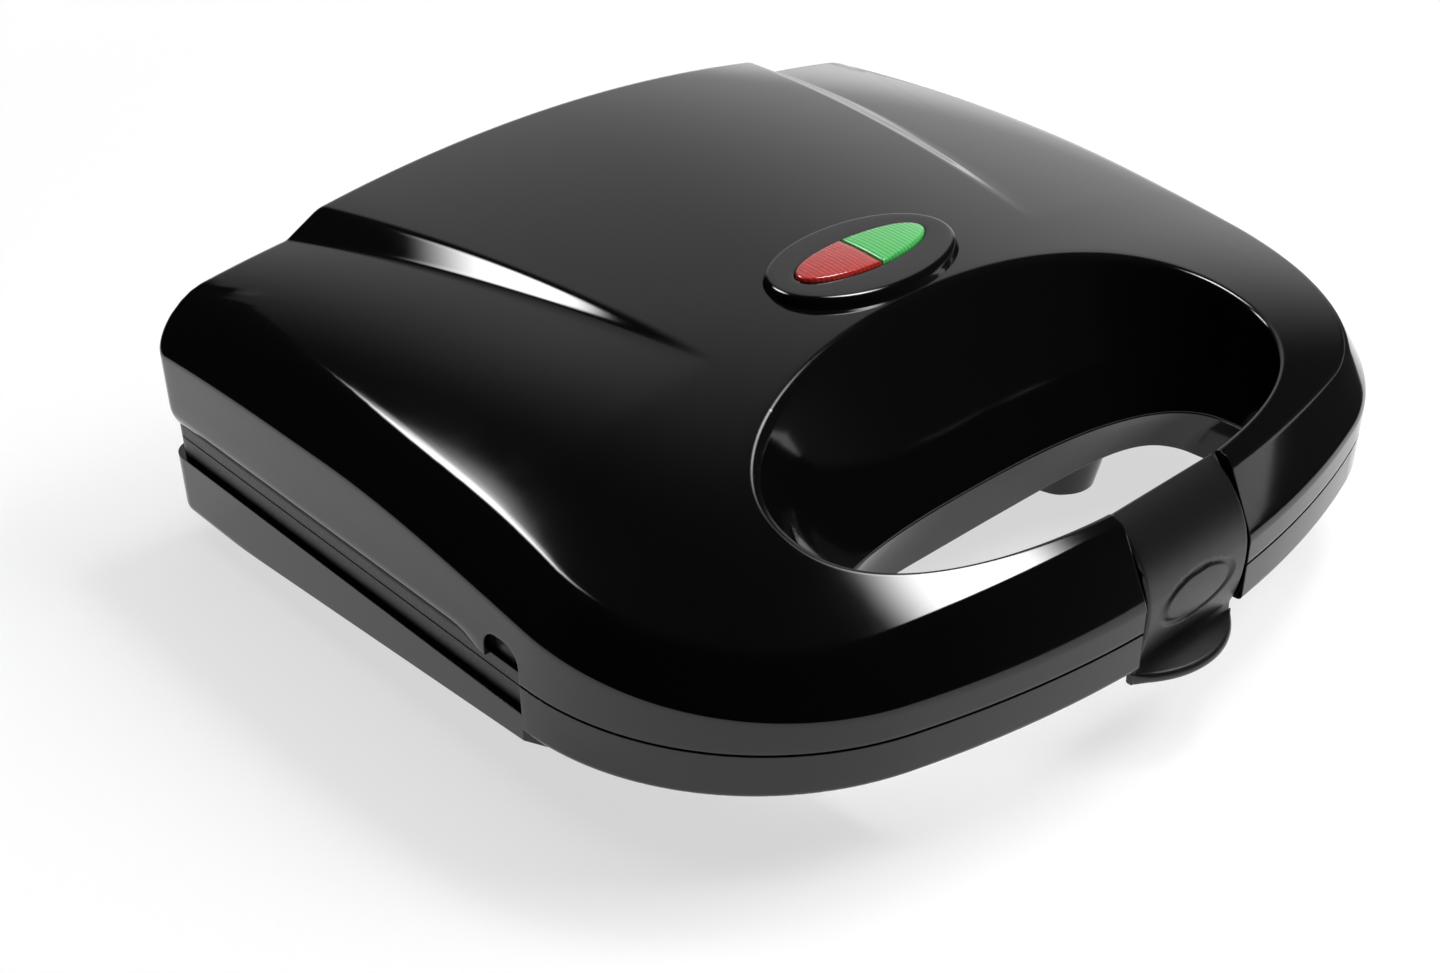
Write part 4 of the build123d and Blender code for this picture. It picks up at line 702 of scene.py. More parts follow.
def lid_column(row):
    """One closed loop of the skin, as (x, depth, z) points in mm."""
    x, depth, nx, nd, low_z = row
    turn = rim_turn(x, depth)
    path = column_path(row, turn)
    steps = np.hypot(*np.diff(path, axis=0).T)
    reach = np.concatenate([[0.0], np.cumsum(steps)])
    length = reach[-1]

    def at(distance):
        return np.interp(distance, reach, path[:, 0]), np.interp(distance, reach, path[:, 1])

    def on_top(distance):
        px, pd = at(distance)
        return np.stack([px, pd, top(px, pd)], axis=-1)

    # Outside of the wall: a small rounding, the tucked foot of the body's wall, and the plain wall
    tuck = WALL_TUCK * (1 - float(smoothstep((depth - WALL_TUCK_END) / (NOTCH_BACK - WALL_TUCK_END))))
    wall_top = float(top(np.array(x), np.array(depth)))
    rear = 1 - float(smoothstep(depth / (2 * BACK_CORNER_R)))
    edge = BAND_EDGE + (BACK_EDGE - BAND_EDGE) * rear * float(smoothstep((HALF_WIDTH - x) / BACK_EDGE_FADE))
    foot_turn = np.linspace(0, pi / 2, 4)[:-1]
    foot_up = FOOT_ROUND * (1 - np.cos(foot_turn))
    heights = low_z + np.concatenate([foot_up, np.linspace(FOOT_ROUND, WALL_TUCK_H, 8)])
    foot_in = FOOT_ROUND * np.concatenate([1 - np.sin(foot_turn), np.zeros(8)])
    tucked = tuck * (1 - np.clip((heights - low_z) / WALL_TUCK_H, 0, 1)) ** 2 + foot_in
    wall = np.stack([x - nx * tucked, depth - nd * tucked, heights], axis=1)
    above = np.linspace(heights[-1], wall_top - edge, 5)[1:-1]
    wall = np.concatenate([wall, np.stack([np.full(3, x), np.full(3, depth), above], axis=1)])
    corner = bezier(np.array([x, depth, wall_top - edge]), np.array([x, depth, wall_top]), on_top(edge), 7)

    # Over the top: rows gather where the crease lies
    across = reach[(reach > edge) & (reach < min(CREASE_REACH, CREASE_REACH_SHARE * length))]
    over = np.argmax(band(*at(across)) > roof(*at(across)))
    crease = min(across[over] if over > 0 else NO_CREASE, CREASE_MOST_SHARE * length)
    spread = GATHER_BACK + (GATHER_FRONT - GATHER_BACK) * float(smoothstep(depth / CREASE_SOFT_DEPTH))
    far = length - RIM_EDGE
    spread = min(spread, GATHER_MOST_INWARD * (far - crease), GATHER_MOST_OUTWARD * (crease - edge))
    along = np.concatenate([np.linspace(edge, crease - spread, 8, endpoint=False),
                            np.linspace(crease - spread, crease + spread, 22, endpoint=False),
                            np.linspace(crease + spread, far, 50, endpoint=False)])
    cover = on_top(along)

    # Round the rim and down the opening's wall
    rim = on_top(length)
    seam_x, seam_depth = oval_point(turn, SEAM_OVAL_X, SEAM_OVAL_Y, SEAM_OVAL_POWER, SEAM_OVAL_DEPTH)
    seam = np.array([seam_x, seam_depth, HANDLE_LID_Z])
    down = (seam - rim) / np.linalg.norm(seam - rim)
    rounded = bezier(on_top(far), rim, rim + down * RIM_EDGE, 9)
    well = rim + down * RIM_EDGE + (seam - rim - down * RIM_EDGE) * np.linspace(0, 1, 11)[:, None]

    # Back inside: behind the opening's wall, under the roof and down behind the outer wall
    if x < BLOCK_HALF and depth > RIM_DEPTH:
        first, last = seam, wall[0]
        inside = first + (last - first) * np.linspace(0, 1, 28)[1:-1, None]
        return np.concatenate([wall, corner, cover, rounded, well, inside])
    away = path[-40] - path[-1]
    away = away / np.hypot(*away) * SHELL_T
    behind = well + np.array([away[0], away[1], 0.0])
    behind = behind[::-1][:-1:3]
    under = on_top(np.linspace(length - SHELL_T, ROOF_INSIDE_START, 16)) - np.array([0, 0, ROOF_DROP])
    inner = np.stack([np.full(6, x - nx * SHELL_T), np.full(6, depth - nd * SHELL_T),
                      np.linspace(under[-1][2] - INSIDE_DROP, low_z, 6)], axis=1)
    return np.concatenate([wall, corner, cover, rounded, well, behind, under, inner])


WELD = 0.002


def skin_mesh(name, columns):
    """A closed mesh from columns of points (columns, points, 3) in mm of x, depth, z: both ways round."""
    count, rows = columns.shape[:2]
    points = columns.reshape(-1, 3) * MM
    points[:, 1] = BACK_WALL_Y * MM - points[:, 1]
    i, j = np.meshgrid(np.arange(count), np.arange(rows), indexing="ij")
    right, up = (i + 1) % count, (j + 1) % rows
    faces = np.stack([i * rows + j, right * rows + j, right * rows + up, i * rows + up], axis=-1).reshape(-1, 4)
    mesh = bpy.data.meshes.new(name)
    mesh.from_pydata(points.tolist(), [], faces.tolist())
    made = bmesh.new()
    made.from_mesh(mesh)
    bpy.data.meshes.remove(mesh)
    bmesh.ops.remove_doubles(made, verts=made.verts, dist=WELD * MM)
    return mesh_from(made, name)


right_half = [lid_column(row) for row in half_outline()]
left_half = [column * np.array([-1.0, 1.0, 1.0]) for column in reversed(right_half[1:-1])]
lid = link_object("domed_lid", skin_mesh("domed_lid", np.array(right_half + left_half)))

# What is cut out of it: the place of the latch clip in the handle's front, and the hole under the lamps
CLIP_NOTCH_HALF = 16.7
CLIP_PIN_DEPTH = 190.1
CLIP_PIN_Z = 46.2
CLIP_WALL_DEPTH = 194.9
CLIP_WALL_TOP_Z = 41.7
CLIP_ROOM_BACK = 185.2
NOTCH_ROUND_R = 2.7
LAMP_DEPTH = 106.7
LAMP_HOLE_X = 20.3
LAMP_HOLE_Y = 7.9
LAMP_HOLE_LOW_Z = 60.0
# Beyond the lid in front, below and above
FAR_DEPTH = 230.0
FAR_LOW_Z = 20.0
FAR_HIGH_Z = 90.0


def prism_mesh(name, points, low_x, high_x):
    """A polygon of (depth, z) corners in mm, drawn out along X."""
    made = bmesh.new()
    ends = [[made.verts.new(spot(x, depth, z)) for depth, z in points] for x in (low_x, high_x)]
    made.faces.new(ends[0])
    made.faces.new(ends[1])
    bridge(made, ends)
    return mesh_from(made, name)


notch_outline = [(FAR_DEPTH, FAR_LOW_Z), (CLIP_WALL_DEPTH, FAR_LOW_Z), (CLIP_WALL_DEPTH, CLIP_WALL_TOP_Z),
                 (CLIP_PIN_DEPTH, CLIP_PIN_Z - NOTCH_ROUND_R)]
notch_outline += [(CLIP_PIN_DEPTH - NOTCH_ROUND_R * sin(a), CLIP_PIN_Z - NOTCH_ROUND_R * cos(a))
                  for a in np.linspace(0, pi / 2, 9)[1:]]
notch_outline += [(CLIP_ROOM_BACK, CLIP_PIN_Z), (CLIP_ROOM_BACK, FAR_HIGH_Z), (FAR_DEPTH, FAR_HIGH_Z)]
clip_room = link_object("clip_room", prism_mesh("clip_room", notch_outline, -CLIP_NOTCH_HALF, CLIP_NOTCH_HALF))
apply_boolean(lid, clip_room, "DIFFERENCE")

made = bmesh.new()
bmesh.ops.create_cone(made, cap_ends=True, segments=96, radius1=1.0, radius2=1.0, depth=1.0)
for vert in made.verts:
    x, y, z = vert.co
    vert.co = spot(x * LAMP_HOLE_X, LAMP_DEPTH - y * LAMP_HOLE_Y, FAR_HIGH_Z if z > 0 else LAMP_HOLE_LOW_Z)
apply_boolean(lid, link_object("lamp_room", mesh_from(made, "lamp_room")), "DIFFERENCE")

# And what is joined to it: the hinge knuckles, each a bracket that ends in a barrel round the pin
HINGE_DEPTH = -7.0
HINGE_Z = 28.0
HINGE_X = 70.0
BARREL_R = 5.0
BORE_R = 2.05
KNUCKLE_HALF = 9.0
# The bracket's corners as (depth, z), below and above its barrel, and the barrel's turn in degrees
KNUCKLE_ROOT = ((1.2, 46.0), (1.2, 33.6), (-3.5, 30.5))
KNUCKLE_TOP = (-1.5, 44.0)
BARREL_TURN = (62, 286)
knuckle_outline = list(KNUCKLE_ROOT)
knuckle_outline += [(HINGE_DEPTH + BARREL_R * sin(a), HINGE_Z + BARREL_R * cos(a))
                    for a in np.linspace(*np.radians(BARREL_TURN), 30)]
knuckle_outline += [KNUCKLE_TOP]
round_bore = [(HINGE_DEPTH + BORE_R * cos(a), HINGE_Z + BORE_R * sin(a))
              for a in np.linspace(0, 2 * pi, 32, endpoint=False)]
for side in (-1, 1):
    low_x, high_x = side * HINGE_X - KNUCKLE_HALF, side * HINGE_X + KNUCKLE_HALF
    knuckle = link_object("knuckle", prism_mesh("knuckle", knuckle_outline, low_x, high_x))
    apply_boolean(lid, knuckle, "UNION")
    bore = link_object("bore", prism_mesh("bore", round_bore, low_x - 1, high_x + 1))
    apply_boolean(lid, bore, "DIFFERENCE")
lid.data.materials.clear()
lid.data.materials.append(gloss_black)
smooth_below(lid.data, 38)
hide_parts("lid_cover")
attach(lid, "lid")


# Frame screws.
# The same zinc-plated screws, driven up through the lid's frame into the posts of the cover. They show beside
# the plate and under the handle when the lid is open.
LID_SHANK_L = 9.0
LID_BODY_SEAT_Z = 29.75
LID_ARM_SEAT_Z = 31.75
lid_places = post_places((LID_BODY_SEAT_Z, LID_BODY_SEAT_Z), LID_ARM_SEAT_Z)
frame_screws = repeat_piece("frame_screws", screw_unit(LID_SHANK_L), lid_places, zinc, seed=9, down=True)
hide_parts("lid_screws")
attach(frame_screws, "lid")


# Lamp bezel.
# A raised oval pad of gloss black ABS with a rounded shoulder, whose level top stands proud of the falling dome
# towards the handle. Its collar drops through the lid and holds the two lenses.
BEZEL_X = 26.0
BEZEL_Y = 15.0
BEZEL_TOP_Z = 71.7
BEZEL_FALL = 0.06
BEZEL_FOOT_Z = 69.5
BEZEL_TAPER = radians(25)
BEZEL_ROUND = 1.5
LENS_X = 18.6
LENS_Y = 6.2
LENS_GAP = 0.15
COLLAR_T = 1.4
COLLAR_LOW_Z = 63.8
COLLAR_MID_Z = 67.5
INNER_ROUND = 0.35
ROUND_DROP = 0.9
ROUND_SPREAD = 0.25
FOOT_STEP = 0.3
SINK = 0.25


def bezel_column(turn):
    """One closed loop of the bezel's section as (x, depth, z): up the hole, over the top, down the flank."""
    across, forward = cos(turn), sin(turn)

    def ring(grow, base_x, base_y, z_above_top=None, z=None):
        x = (base_x + grow) * across
        away = (base_y + grow) * forward
        level = BEZEL_TOP_Z - BEZEL_FALL * away + z_above_top if z is None else z
        return [x, LAMP_DEPTH + away, level]

    hole_x, hole_y = LENS_X + LENS_GAP, LENS_Y + LENS_GAP
    points = [ring(0, hole_x, hole_y, z=COLLAR_LOW_Z), ring(0, hole_x, hole_y, z=COLLAR_MID_Z)]
    for a in np.linspace(0, pi / 2, 6):
        points.append(ring(INNER_ROUND * (1 - cos(a)), hole_x, hole_y, INNER_ROUND * (sin(a) - 1)))
    flank_h = BEZEL_TOP_Z - BEZEL_FOOT_Z - BEZEL_FALL * BEZEL_Y * forward
    rim_grow = -flank_h * sin(BEZEL_TAPER) / cos(BEZEL_TAPER)
    flat_end = rim_grow - ROUND_DROP * BEZEL_ROUND
    for share in (0.35, 0.7):
        points.append(ring(share * (BEZEL_X - hole_x + flat_end), hole_x, hole_y, 0.0))
    start = np.array(ring(flat_end, BEZEL_X, BEZEL_Y, 0.0))
    edge = np.array(ring(rim_grow, BEZEL_X, BEZEL_Y, 0.0))
    flank = edge + BEZEL_ROUND * np.array([ROUND_SPREAD * across, ROUND_SPREAD * forward, -ROUND_DROP])
    points += [list(point) for point in bezier(start, edge, flank, 8)]
    x, depth, flank_z = flank

    # Down the flank into the lid's face, and under the pad to the collar
    low_z = min(float(roof(x, depth)) - SINK, flank_z - 0.05)
    points.append([x, depth, flank_z])
    points.append([x + FOOT_STEP * across, depth + FOOT_STEP * forward, (flank_z + low_z) / 2])
    points.append([x + 2 * FOOT_STEP * across, depth + 2 * FOOT_STEP * forward, low_z])
    collar_x, collar_depth = (hole_x + COLLAR_T) * across, LAMP_DEPTH + (hole_y + COLLAR_T) * forward
    points.append([collar_x, collar_depth, float(roof(collar_x, collar_depth)) - SINK])
    points.append([collar_x, collar_depth, COLLAR_LOW_Z])
    return np.array(points)


bezel_columns = [bezel_column(a) for a in np.linspace(0, 2 * pi, 144, endpoint=False)]
bezel = link_object("lamp_surround", skin_mesh("lamp_surround", np.array(bezel_columns)))
smooth_below(bezel.data, 50)
bezel.data.materials.append(gloss_black)
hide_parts("lamp_bezel")
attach(bezel, "lid")


# Lamp lenses.
# Two half ovals of clear tinted acrylic, red for power and green for ready, side by side in the bezel with a
# thin seam between them. Each is moulded with a rounded edge and crowned top over fine lamp-diffusing ribs.
LENS_SEAM = 0.5
LENS_LOW_Z = 69.3
LENS_PROUD = 0.6
LENS_CROWN = 0.35
LENS_CROWN_X = 8.0
LENS_CROWN_REACH = 12.0
LENS_EDGE = 0.7
LENS_HEART = 0.42


def lens_mesh(name, side):
    """A half oval with a rounded top edge: rings shrink towards a point on its middle line."""
    turns = np.linspace(-pi / 2, pi / 2, 49)
    outline = [(LENS_X * cos(a), LENS_Y * sin(a)) for a in turns]
    outline = [(max(x, LENS_SEAM / 2), y) for x, y in outline]
    outline += [(LENS_SEAM / 2, y) for y in np.linspace(LENS_Y, -LENS_Y, 14)[1:-1]]
    outline = np.array(outline)
    heart = np.array([LENS_HEART * LENS_X, 0.0])
    rings = []

    def top_z(point):
        level = BEZEL_TOP_Z + LENS_PROUD - BEZEL_FALL * point[1]
        away = (point[1] / LENS_Y) ** 2 + ((point[0] - LENS_CROWN_X) / LENS_CROWN_REACH) ** 2
        return level + LENS_CROWN * (1 - min(away, 1.0))

    levels = [(0.0, None)]
    levels += [(LENS_EDGE * (1 - cos(a)), LENS_EDGE * (sin(a) - 1)) for a in np.linspace(0, pi / 2, 7)]
    for inset, below in levels:
        ring = []
        for point in outline:
            inward = heart - point
            point = point + inward * min(inset / np.hypot(*inward), 0.9)
            ring.append((point, LENS_LOW_Z if below is None else top_z(point) + below))
        rings.append(ring)
    last = [point for point, _ in rings[-1]]
    for share in (0.2, 0.4, 0.6, 0.8):
        shrunk = [point + (heart - point) * share for point in last]
        rings.append([(point, top_z(point)) for point in shrunk])
    made = bmesh.new()
    rows = [[made.verts.new(spot(side * x, LAMP_DEPTH + y, z)) for (x, y), z in ring] for ring in rings]
    centre = made.verts.new(spot(side * heart[0], LAMP_DEPTH, top_z(heart)))
    bridge(made, rows + [[centre] * len(outline)])
    made.faces.new(rows[0])
    return smooth_below(mesh_from(made, name), 50)


# Acrylic (PMMA), injection moulded and polished: clear and strongly tinted, with vertical ribs 1.1 mm apart
# under its face that break up the light of the lamp behind.
LENS_RIB_PITCH = 1.1


def tinted_acrylic(name, colour, deep):
    material = new_material(
        name, colour, 0.06, IOR=1.49, Transmission_Weight=0.25, Coat_Weight=0.6, Coat_Roughness=0.03)
    tree = material.node_tree
    place = add_node(tree, "ShaderNodeTexCoord")
    ribs = add_node(tree, "ShaderNodeTexWave", {"bands_direction": "X"}, {
        "Vector": place.outputs["Object"], "Scale": WAVE_BAND / (LENS_RIB_PITCH * MM)})
    apply_pattern(material, ribs.outputs["Fac"], tints=(deep, colour), height=0.02)
    return material


red_acrylic = tinted_acrylic("red_polished_acrylic", "#c8322a", "#a3201c")
green_acrylic = tinted_acrylic("green_polished_acrylic", "#5fd06e", "#3fae54")
for name, side, acrylic, node in (("power_lens", -1, red_acrylic, "red_lens"),
                                  ("ready_lens", 1, green_acrylic, "green_lens")):
    lens = link_object(name, lens_mesh(name, side))
    lens.data.materials.append(acrylic)
    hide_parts(node)
    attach(lens, "lid")

# Neon lamps: soda-lime glass tubes, clear and smooth, with a slight warm tint.
lamp_glass = new_material("clear_soda_lime_glass", "#f4ead8", 0.03, IOR=1.52, Transmission_Weight=0.8)
surface_grain(lamp_glass, size=2.5, height=0.01, roughness=(0.02, 0.06), edge=0.1)
dress(lamp_glass, "neon_lamps")


# Latch clip.
# A moulding of satin black glass-filled nylon that turns on a pin in the handle's front. Its arm follows the
# handle's rounded edge down to a thumb lip, with a nose behind it that stops just short of the base's edge. A
# shallow oval groove marks where to press.
CLIP_HALF = 16.0
CLIP_RIM = (187.2, 51.4)
CLIP_BEND = (193.6, 45.9)
CLIP_FACE_TOP = (198.1, 36.0)
CLIP_FACE_MID = (198.3, 31.7)
CLIP_FACE_FOOT = (196.4, 20.8)
CLIP_LIP_TOP_Z = 18.8
CLIP_LIP_LOW_Z = 16.4
CLIP_LIP_REACH = 6.8
CLIP_LIP_LEAST = 0.25
CLIP_ROOT_R = 0.8
CLIP_NOSE_DEPTH = 195.15
CLIP_NOSE_EDGE = 0.3
CLIP_NOSE_TOP_Z = 20.0
CLIP_ARM_DEPTH = 195.7
CLIP_ARM_HEIGHTS = (20.8, 25.0, 31.0, 37.0, 42.2)
CLIP_BARREL_R = 2.2
CLIP_BARREL_TURN = (-53.7, -233.1)
PAD_X = 12.0
PAD_Z = 5.6
PAD_MID_Z = 31.7
PAD_GROOVE_W = 1.0
PAD_GROOVE_DEEP = 0.5
CLIP_EDGE = 0.8


def arc_through(first, middle, last, count):
    """Points of the circle's arc through three points, both ends included."""
    (ax, az), (bx, bz), (cx, cz) = first, middle, last
    d = 2 * (ax * (bz - cz) + bx * (cz - az) + cx * (az - bz))
    a2, b2, c2 = ax * ax + az * az, bx * bx + bz * bz, cx * cx + cz * cz
    ux = (a2 * (bz - cz) + b2 * (cz - az) + c2 * (az - bz)) / d
    uz = (a2 * (cx - bx) + b2 * (ax - cx) + c2 * (bx - ax)) / d
    radius = sqrt((ax - ux) ** 2 + (az - uz) ** 2)
    start, end = atan2(az - uz, ax - ux), atan2(cz - uz, cx - ux)
    middle_turn = atan2(bz - uz, bx - ux)
    if not min(start, end) <= middle_turn <= max(start, end):
        end += 2 * pi if end < start else -2 * pi
    return [(ux + radius * cos(a), uz + radius * sin(a)) for a in np.linspace(start, end, count)]


def clip_section(x):
    """The clip's closed section at x, as (depth, z) points, narrowed at its two side edges."""
    near_side = max(abs(x) - (CLIP_HALF - CLIP_EDGE), 0.0)
    shrink = CLIP_EDGE - sqrt(max(CLIP_EDGE ** 2 - near_side ** 2, 0.0))
    lip_r = (CLIP_HALF ** 2 + CLIP_LIP_REACH ** 2) / (2 * CLIP_LIP_REACH)
    lip = sqrt(lip_r ** 2 - x ** 2) - (lip_r - CLIP_LIP_REACH)
    lip = max(lip - shrink, CLIP_LIP_LEAST)
    face = arc_through(CLIP_RIM, CLIP_BEND, CLIP_FACE_TOP, 34)[:-1]
    face += arc_through(CLIP_FACE_TOP, CLIP_FACE_MID, CLIP_FACE_FOOT, 64)
    face = np.array(face)
    run = np.gradient(face, axis=0)
    normal = np.stack([-run[:, 1], run[:, 0]], axis=1) / np.hypot(run[:, 0], run[:, 1])[:, None]
    oval = np.sqrt((x / PAD_X) ** 2 + ((face[:, 1] - PAD_MID_Z) / PAD_Z) ** 2)
    from_groove = np.abs(oval - 1 + PAD_GROOVE_W / 2 / PAD_Z) * min(PAD_Z + 2, 8)
    groove = PAD_GROOVE_DEEP * np.clip(1 - (from_groove / (0.8 * PAD_GROOVE_W)) ** 2, 0, 1)
    face = face - normal * (shrink + groove)[:, None]
    foot_depth = CLIP_FACE_FOOT[0]
    lip_mid_z, half_t = (CLIP_LIP_TOP_Z + CLIP_LIP_LOW_Z) / 2, (CLIP_LIP_TOP_Z - CLIP_LIP_LOW_Z) / 2
    root = foot_depth - shrink
    fillet = min(CLIP_ROOT_R, lip / 2)
    points = [tuple(p) for p in face]
    points += [(root, CLIP_LIP_TOP_Z + 1.2), (root + 0.2 * fillet, CLIP_LIP_TOP_Z + 0.35),
               (root + fillet, CLIP_LIP_TOP_Z)]
    tip = foot_depth + lip
    round_t = min(half_t, lip / 2)
    points += [(tip - round_t + round_t * sin(a), lip_mid_z + half_t * cos(a)) for a in np.linspace(0, pi, 13)]
    points += [(CLIP_NOSE_DEPTH + CLIP_NOSE_EDGE, CLIP_LIP_LOW_Z),
               (CLIP_NOSE_DEPTH, CLIP_LIP_LOW_Z + CLIP_NOSE_EDGE), (CLIP_NOSE_DEPTH, CLIP_NOSE_TOP_Z)]
    points += [(CLIP_ARM_DEPTH, z) for z in CLIP_ARM_HEIGHTS]
    points += [(CLIP_PIN_DEPTH + CLIP_BARREL_R * cos(a), CLIP_PIN_Z + CLIP_BARREL_R * sin(a))
               for a in np.linspace(*np.radians(CLIP_BARREL_TURN), 20)]
    return points


clip_xs = np.concatenate([
    -CLIP_HALF + CLIP_EDGE * (1 - np.cos(np.linspace(0, pi / 2, 7)))[:-1],
    np.linspace(-CLIP_HALF + CLIP_EDGE, -PAD_X - 1, 6, endpoint=False),
    np.linspace(-PAD_X - 1, PAD_X + 1, 88, endpoint=False),
    np.linspace(PAD_X + 1, CLIP_HALF - CLIP_EDGE, 6, endpoint=False),
    CLIP_HALF - CLIP_EDGE * (1 - np.sin(np.linspace(0, pi / 2, 7)))])
clip_xs[-1], clip_xs[0] = CLIP_HALF, -CLIP_HALF
made = bmesh.new()
clip_rows = [[made.verts.new(spot(x, depth, z)) for depth, z in clip_section(x)] for x in clip_xs]
bridge(made, clip_rows)
made.faces.new(clip_rows[0])
made.faces.new(clip_rows[-1])
clip = link_object("press_clip", smooth_below(mesh_from(made, "press_clip"), 40))

# Nylon 66 with glass fibre, moulded in a blasted mould: soft black with a fine even satin, greyer than the
# shells.
satin_black = new_material("glass_filled_nylon", "#151516", 0.36, IOR=1.53)
surface_grain(satin_black, size=0.5, height=0.006, roughness=(0.32, 0.42), edge=0.3, detail=3.0)
clip.data.materials.append(satin_black)
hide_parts("latch_clip")
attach(clip, "clip")


# Floor and light.
# White paper, with two soft boxes, a pale backdrop on the right and a black card for the glossy shells to
# reflect. Two wide lights that stay out of the reflections light the paper and the matte surfaces.
FLOOR_HALF = 3000.0


def flat_sheet(name, material, corners, z=0.0):
    """An object with one flat face, through these (x, y) corners in mm."""
    mesh = bpy.data.meshes.new(name)
    mesh.from_pydata([(x * MM, y * MM, z * MM) for x, y in corners], [], [(0, 1, 2, 3)])
    mesh.materials.append(material)
    return link_object(name, mesh)


def oblong(size_x, size_y):
    """The corners of an oblong round the origin."""
    return [(x * size_x / 2, y * size_y / 2) for x, y in ((-1, -1), (1, -1), (1, 1), (-1, 1))]


# Uncoated paper: matte white. The camera and reflections see it mixed with plain white, the more so away from
# the machine, so the sheet stays white and the shadow on it stays soft.
FLOOR_WHITE_SHARE = 0.65
SHADOW_REACH = 230.0
PLAIN_REACH = 520.0
paper = new_material("white_paper", "#f4f4f4", 0.9)
tree = paper.node_tree
rays = add_node(tree, "ShaderNodeLightPath")
seen = rays.outputs["Is Camera Ray"]
for kind in ("Is Glossy Ray", "Is Transmission Ray"):
    seen = add_node(tree, "ShaderNodeMath", {"operation": "MAXIMUM"}, {
        0: seen, 1: rays.outputs[kind]}).outputs["Value"]
place = add_node(tree, "ShaderNodeTexCoord")
reach = add_node(tree, "ShaderNodeVectorMath", {"operation": "LENGTH"}, {0: place.outputs["Object"]})
whiter = add_node(tree, "ShaderNodeMapRange", {"interpolation_type": "SMOOTHSTEP"}, {
    "Value": reach.outputs["Value"], "From Min": SHADOW_REACH * MM, "From Max": PLAIN_REACH * MM,
    "To Min": FLOOR_WHITE_SHARE, "To Max": 1.0})
share = add_node(tree, "ShaderNodeMath", {"operation": "MULTIPLY"}, {0: seen, 1: whiter.outputs["Result"]})
plain_white = add_node(tree, "ShaderNodeEmission", inputs={"Strength": 1.0})
paper_mix = add_node(tree, "ShaderNodeMixShader", inputs={
    0: share.outputs["Value"], 1: tree.nodes["Principled BSDF"].outputs["BSDF"],
    2: plain_white.outputs["Emission"]})
tree.links.new(paper_mix.outputs["Shader"], tree.nodes["Material Output"].inputs["Surface"])
floor = flat_sheet("floor", paper, oblong(2 * FLOOR_HALF, 2 * FLOOR_HALF))

# The room by direction: a pale backdrop low down behind on the right, darker upwards and to the other sides.
# Each fade is along one part of the direction, from a low value to a high one, with the strength's factor at
# both.
BACKDROP_STRENGTH = 0.55
FADES = (("X", 0.18, 0.38, 0.01, BACKDROP_STRENGTH), ("X", 0.55, 0.85, 1.0, 1.6), ("Z", 0.68, 0.92, 1.0, 0.1),
         ("Z", 0.02, 0.14, 2.0, 1.0), ("Y", 0.18, 0.4, 0.03, 1.0))
world = bpy.data.worlds.new("studio")
world.use_nodes = True
tree = world.node_tree
place = add_node(tree, "ShaderNodeTexCoord")
heading = add_node(tree, "ShaderNodeSeparateXYZ", inputs={"Vector": place.outputs["Generated"]})
pale = 1.0
for part, low, high, at_low, at_high in FADES:
    fade = add_node(tree, "ShaderNodeMapRange", {"interpolation_type": "SMOOTHSTEP"}, {
        "Value": heading.outputs[part], "From Min": low, "From Max": high, "To Min": at_low, "To Max": at_high})
    pale = add_node(tree, "ShaderNodeMath", {"operation": "MULTIPLY"}, {
        0: pale, 1: fade.outputs["Result"]}).outputs["Value"]
# The camera itself sees plain white behind the paper
rays = add_node(tree, "ShaderNodeLightPath")
strength = add_node(tree, "ShaderNodeMath", {"operation": "MAXIMUM"}, {
    0: pale, 1: rays.outputs["Is Camera Ray"]})
background = tree.nodes["Background"]
tree.links.new(strength.outputs["Value"], background.inputs["Strength"])
background.inputs["Color"].default_value = linear("#ffffff")
bpy.context.scene.world = world

BOX_STRENGTH = 26.0
BOX_CORE = 0.3
LIGHT_AIM = Vector((0, -20, 60)) * MM


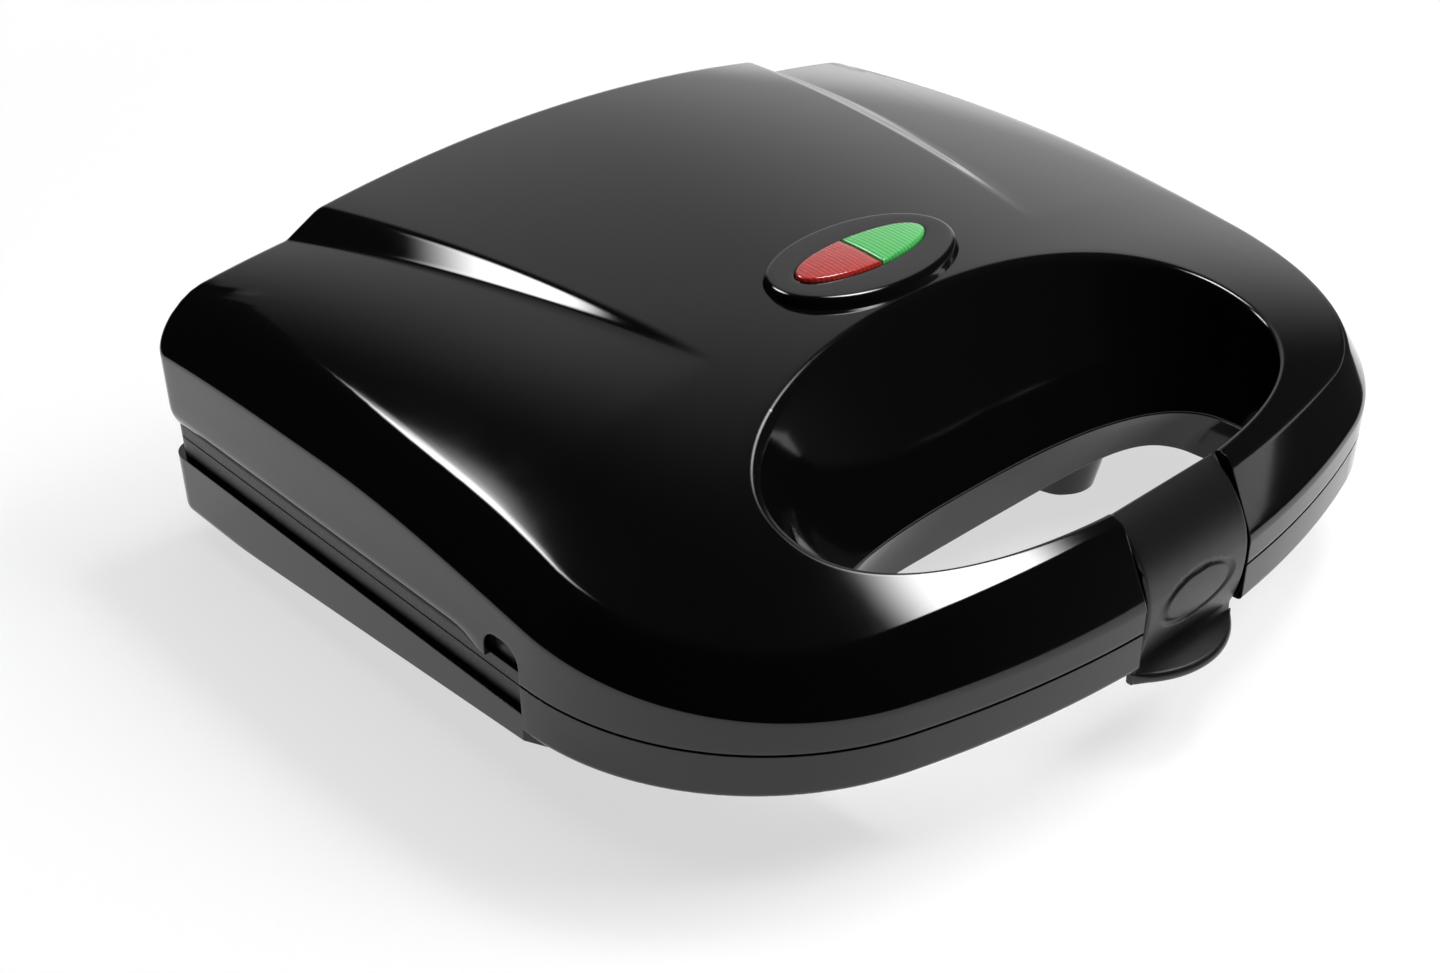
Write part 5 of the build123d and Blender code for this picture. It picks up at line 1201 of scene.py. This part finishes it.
def soft_box(name, place, size_x, size_y, lean=0.0):
    """A soft box at a place in mm, turned towards the lid: a white sheet that is brightest in its middle."""
    glowing = new_material(name + "_sheet", "#ffffff", 1.0)
    tree = glowing.node_tree
    texture_place = add_node(tree, "ShaderNodeTexCoord")
    share = add_node(tree, "ShaderNodeVectorMath", {"operation": "MULTIPLY"}, {
        0: texture_place.outputs["Object"], 1: (2 / (size_x * MM), 2 / (size_y * MM), 0)})
    away = add_node(tree, "ShaderNodeVectorMath", {"operation": "LENGTH"}, {0: share.outputs["Vector"]})
    glow = add_node(tree, "ShaderNodeMapRange", {"interpolation_type": "SMOOTHSTEP"}, {
        "Value": away.outputs["Value"], "From Min": BOX_CORE, "From Max": 1.0,
        "To Min": BOX_STRENGTH, "To Max": 0.0})
    light = add_node(tree, "ShaderNodeEmission", inputs={"Strength": glow.outputs["Result"]})
    tree.links.new(light.outputs["Emission"], tree.nodes["Material Output"].inputs["Surface"])
    box = flat_sheet(name, glowing, oblong(size_x, size_y))
    box.location = Vector(place) * MM
    aim = (LIGHT_AIM - box.location).to_track_quat("-Z", "Y")
    box.rotation_euler = (aim @ Quaternion((0, 0, 1), lean)).to_euler()
    box.visible_camera = False
    return box


soft_box("right_soft_box", place=(600, 0, 1292), size_x=680, size_y=460)
back_box = soft_box("back_soft_box", place=(-110, 610, 1030), size_x=380, size_y=720, lean=-0.3)
back_box.visible_diffuse = False


def room_light(name, place, size, watts):
    """A wide light at a place in mm that lights the paper and matte surfaces and stays out of reflections."""
    data = bpy.data.lights.new(name, "AREA")
    data.size = size * MM
    data.energy = watts
    light = bpy.data.objects.new(name, data)
    light.location = Vector(place) * MM
    light.rotation_euler = light.location.to_track_quat("Z", "Y").to_euler()
    light.visible_glossy = False
    bpy.context.scene.collection.objects.link(light)


room_light("key_light", place=(900, -600, 1100), size=700, watts=20.0)
room_light("ceiling_light", place=(0, 0, 1900), size=1600, watts=14.0)

# A black card beside the machine on the right, which only reflections see, keeps its right shoulder dark
CARD_CORNERS = ((215, -420), (1600, -420), (1600, 560), (215, 0))
CARD_Z = 0.5
card = flat_sheet("black_card", new_material("black_velvet_card", "#050505", 0.9), CARD_CORNERS, CARD_Z)
card.visible_camera = False
card.visible_diffuse = False
card.visible_shadow = False
bpy.context.scene.view_settings.view_transform = "Standard"
